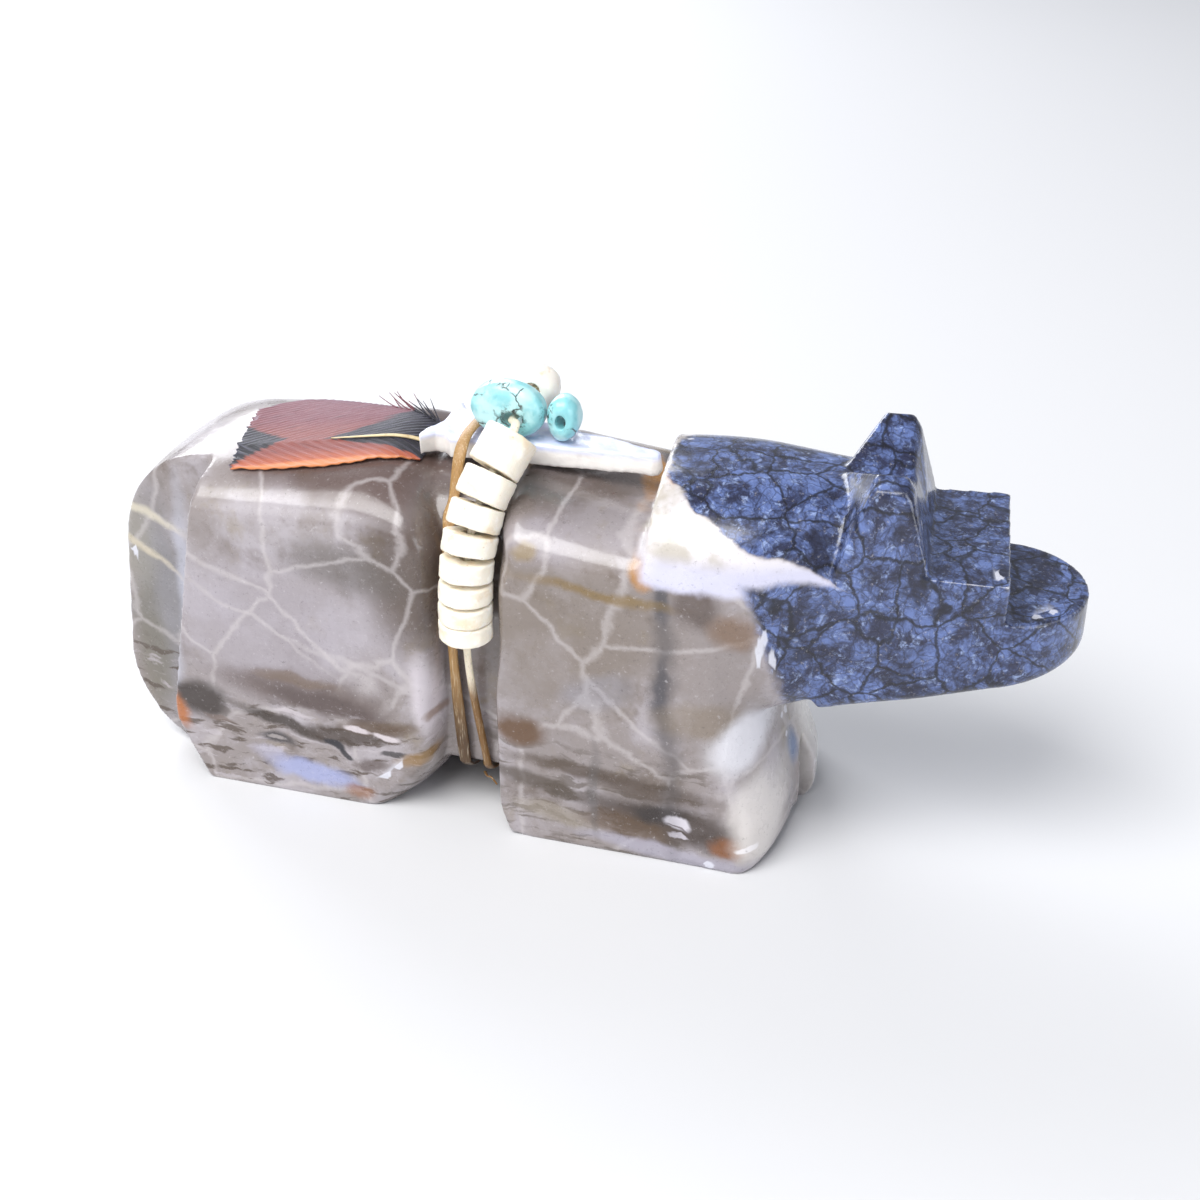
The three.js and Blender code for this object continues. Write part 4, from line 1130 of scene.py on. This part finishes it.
cream = Finish("cream_shell_disc", roughness=0.42, coat=0.15, coat_roughness=0.2)
cream.shader.inputs["Subsurface Weight"].default_value = 0.2
cream.shader.inputs["Subsurface Radius"].default_value = (1.0, 0.75, 0.5)
cream.shader.inputs["Subsurface Scale"].default_value = MM
cream.lay("f5ecdb")
cream.lay("e6cfa9", cream.math("MULTIPLY", cream.rise(cream.cloud(1.5, 4, seed=2), 0.5, 0.68), 0.65))
cream.lay("fffaf0", cream.math("MULTIPLY", cream.rise(cream.cloud(0.8, 3, seed=6), 0.5, 0.65), 0.6))
cream.lay("b98a50", cream.math("MULTIPLY", cream.rise(cream.cloud(0.35, 2, seed=9), 0.66, 0.76), 0.5))
cream.raise_by(cream.cloud(0.22, 3), 0.03)
for number, (centre, axis, _, length) in enumerate(discs, 1):
    radius = HEISHI_RADIUS * (1 + 0.022 * (dice.random() - 0.5))
    disc = turned_bead(f"shell_disc_{number}", radius, length, HEISHI_HOLE, HEISHI_EDGE + 0.06 * dice.random(), 5)
    make_uneven(disc.data, 0.05, 0.7, seed=number * 3)
    make_uneven(disc.data, 0.03, 0.3, seed=number * 5)
    disc.data.transform(Matrix.Translation(centre) @ axis.to_track_quat("Z", "X").to_matrix().to_4x4())
    disc.data.materials.append(cream.material)
    lay_down(disc, f"heishi_{number}", slot="heishi_shell")
cream.done()

# The ties: two lengths of waxed sinew, split flat. One carries the beads over the back and
# round the waist, the other goes once round the waist and over the arrowhead under them.
SINEW_GAP = 0.45
WAIST_POWER = 2 / ROUNDING_POWER


def beside_waist(x, side, degrees):
    """A place beside the waist, at an angle round it from the top of the back."""
    angle = math.radians(degrees)
    y = side * (HALF_WIDTH_WAIST + SINEW_GAP) * math.sin(angle) ** WAIST_POWER
    rise = abs(math.cos(angle)) ** WAIST_POWER
    if degrees < 90:
        return (x, y, WAIST_FLANK[1] + (WAIST_TOP_Z + SINEW_GAP - WAIST_FLANK[1]) * rise)
    return (x, y, WAIST_FLANK[0] - (WAIST_FLANK[0] - WAIST_BOTTOM_Z + SINEW_GAP) * rise)


def hug_waist(x, side, start, end):
    steps = math.ceil(abs(end - start) / 14)
    return [beside_waist(x, side, start + (end - start) * k / steps) for k in range(steps + 1)]


def away_from_waist(place):
    """The direction out of the stone where a tie lies against it."""
    if place.z > 27:
        return Vector((0, place.y * 0.08, 1)).normalized()
    y, z = place.y / HALF_WIDTH_WAIST, (place.z - 14) / 11.5
    return Vector((0.02, y * abs(y) ** 2, z * abs(z) ** 2)).normalized()


through_discs = []
for centre, axis, _, length in reversed(discs):
    through_discs += [centre + axis * length * 0.3, centre - axis * length * 0.3]
NEAR, FAR = -1, 1
bead_route = [
    *hug_waist(-5.3, NEAR, 158, 92),
    (-5.9, -7.4, 9.5),
    (-6.0, -8.1, 13),
    *through_discs,
    (-3.7, -3.5, 29.6),
    (-4.36, -2.3, 29.35),
    (-4.36, -0.6, 29.35),
    (-4.15, 1.3, 30.0),
    (-4.15, 3.9, 29.65),
    (-4.5, 5.0, 28.3),
    *hug_waist(-5.6, FAR, 42, 178),
    *hug_waist(-6.0, NEAR, 176, 164),
]
wrap_route = [
    *hug_waist(-7.0, NEAR, 158, 92),
    (-7.35, -7.3, 11),
    (-7.55, -7.2, 16),
    *hug_waist(-7.6, NEAR, 88, 46),
    (-7.5, -4.4, 27.1),
    (-7.45, -2.9, 28.15),
    (-7.45, 0, 28.15),
    (-7.45, 2.9, 28.15),
    (-7.45, 4.4, 27.1),
    *hug_waist(-7.5, FAR, 46, 88),
    *hug_waist(-7.1, FAR, 92, 178),
    *hug_waist(-7.0, NEAR, 176, 172),
]


def fibre_width(middle, swing, seed):
    return lambda t: middle + swing * noise.noise(Vector((t * 26, seed, 0)))


bead_thread = strand_skin(
    "bead_thread", bead_route, fibre_width(0.3, 0.08, 1), fibre_width(0.2, 0.03, 4), away_from_waist, 12, 420
)
loose_end = strand_skin(
    "loose_end",
    [(-5.9, -5.9, 2.5), (-5.4, -6.7, 2.7), (-4.9, -7.3, 3.1), (-4.45, -7.35, 2.6)],
    lambda t: 0.13 - 0.07 * t,
    lambda t: 0.07,
    away_from_waist,
    8,
    24,
)
join(bead_thread, [loose_end])
wrap_thread = strand_skin(
    "wrap_thread", wrap_route, fibre_width(0.42, 0.12, 7), fibre_width(0.16, 0.03, 9), away_from_waist, 12, 360
)


def sinew_finish(name, pale, deep, low, high):
    """Waxed sinew, pale higher up and deeper in tone lower down."""
    sinew = Finish(name, roughness=0.4, coat=0.2, coat_roughness=0.2)
    sinew.shader.inputs["Subsurface Weight"].default_value = 0.15
    sinew.shader.inputs["Subsurface Radius"].default_value = (0.6, 0.4, 0.2)
    sinew.shader.inputs["Subsurface Scale"].default_value = MM
    fibres = sinew.cloud(1.0, 3, 0.6, where=sinew.vector("MULTIPLY", sinew.where, (9, 9, 0.7)))
    sinew.lay(deep)
    sinew.lay(pale, sinew.rise(sinew.math("ADD", sinew.along((0, 0, 1)), sinew.math("MULTIPLY", fibres, 1.5)), low, high))
    sinew.lay("fff4d8", sinew.math("MULTIPLY", sinew.rise(fibres, 0.52, 0.7), 0.3))
    sinew.lay("2c1d10", sinew.math("MULTIPLY", sinew.rise(fibres, 0.45, 0.28), 0.45))
    sinew.raise_by(fibres, 0.07)
    return sinew.done()


bead_thread.data.materials.append(sinew_finish("pale_sinew", "f0e4cc", "7d5a2e", 10.2, 13.0))
lay_down(bead_thread, "sinew_bead_strand", slot="sinew_pale")
wrap_thread.data.materials.append(sinew_finish("brown_sinew", "a98350", "523a20", 6.0, 15.0))
lay_down(wrap_thread, "sinew_wrap", slot="sinew_brown")
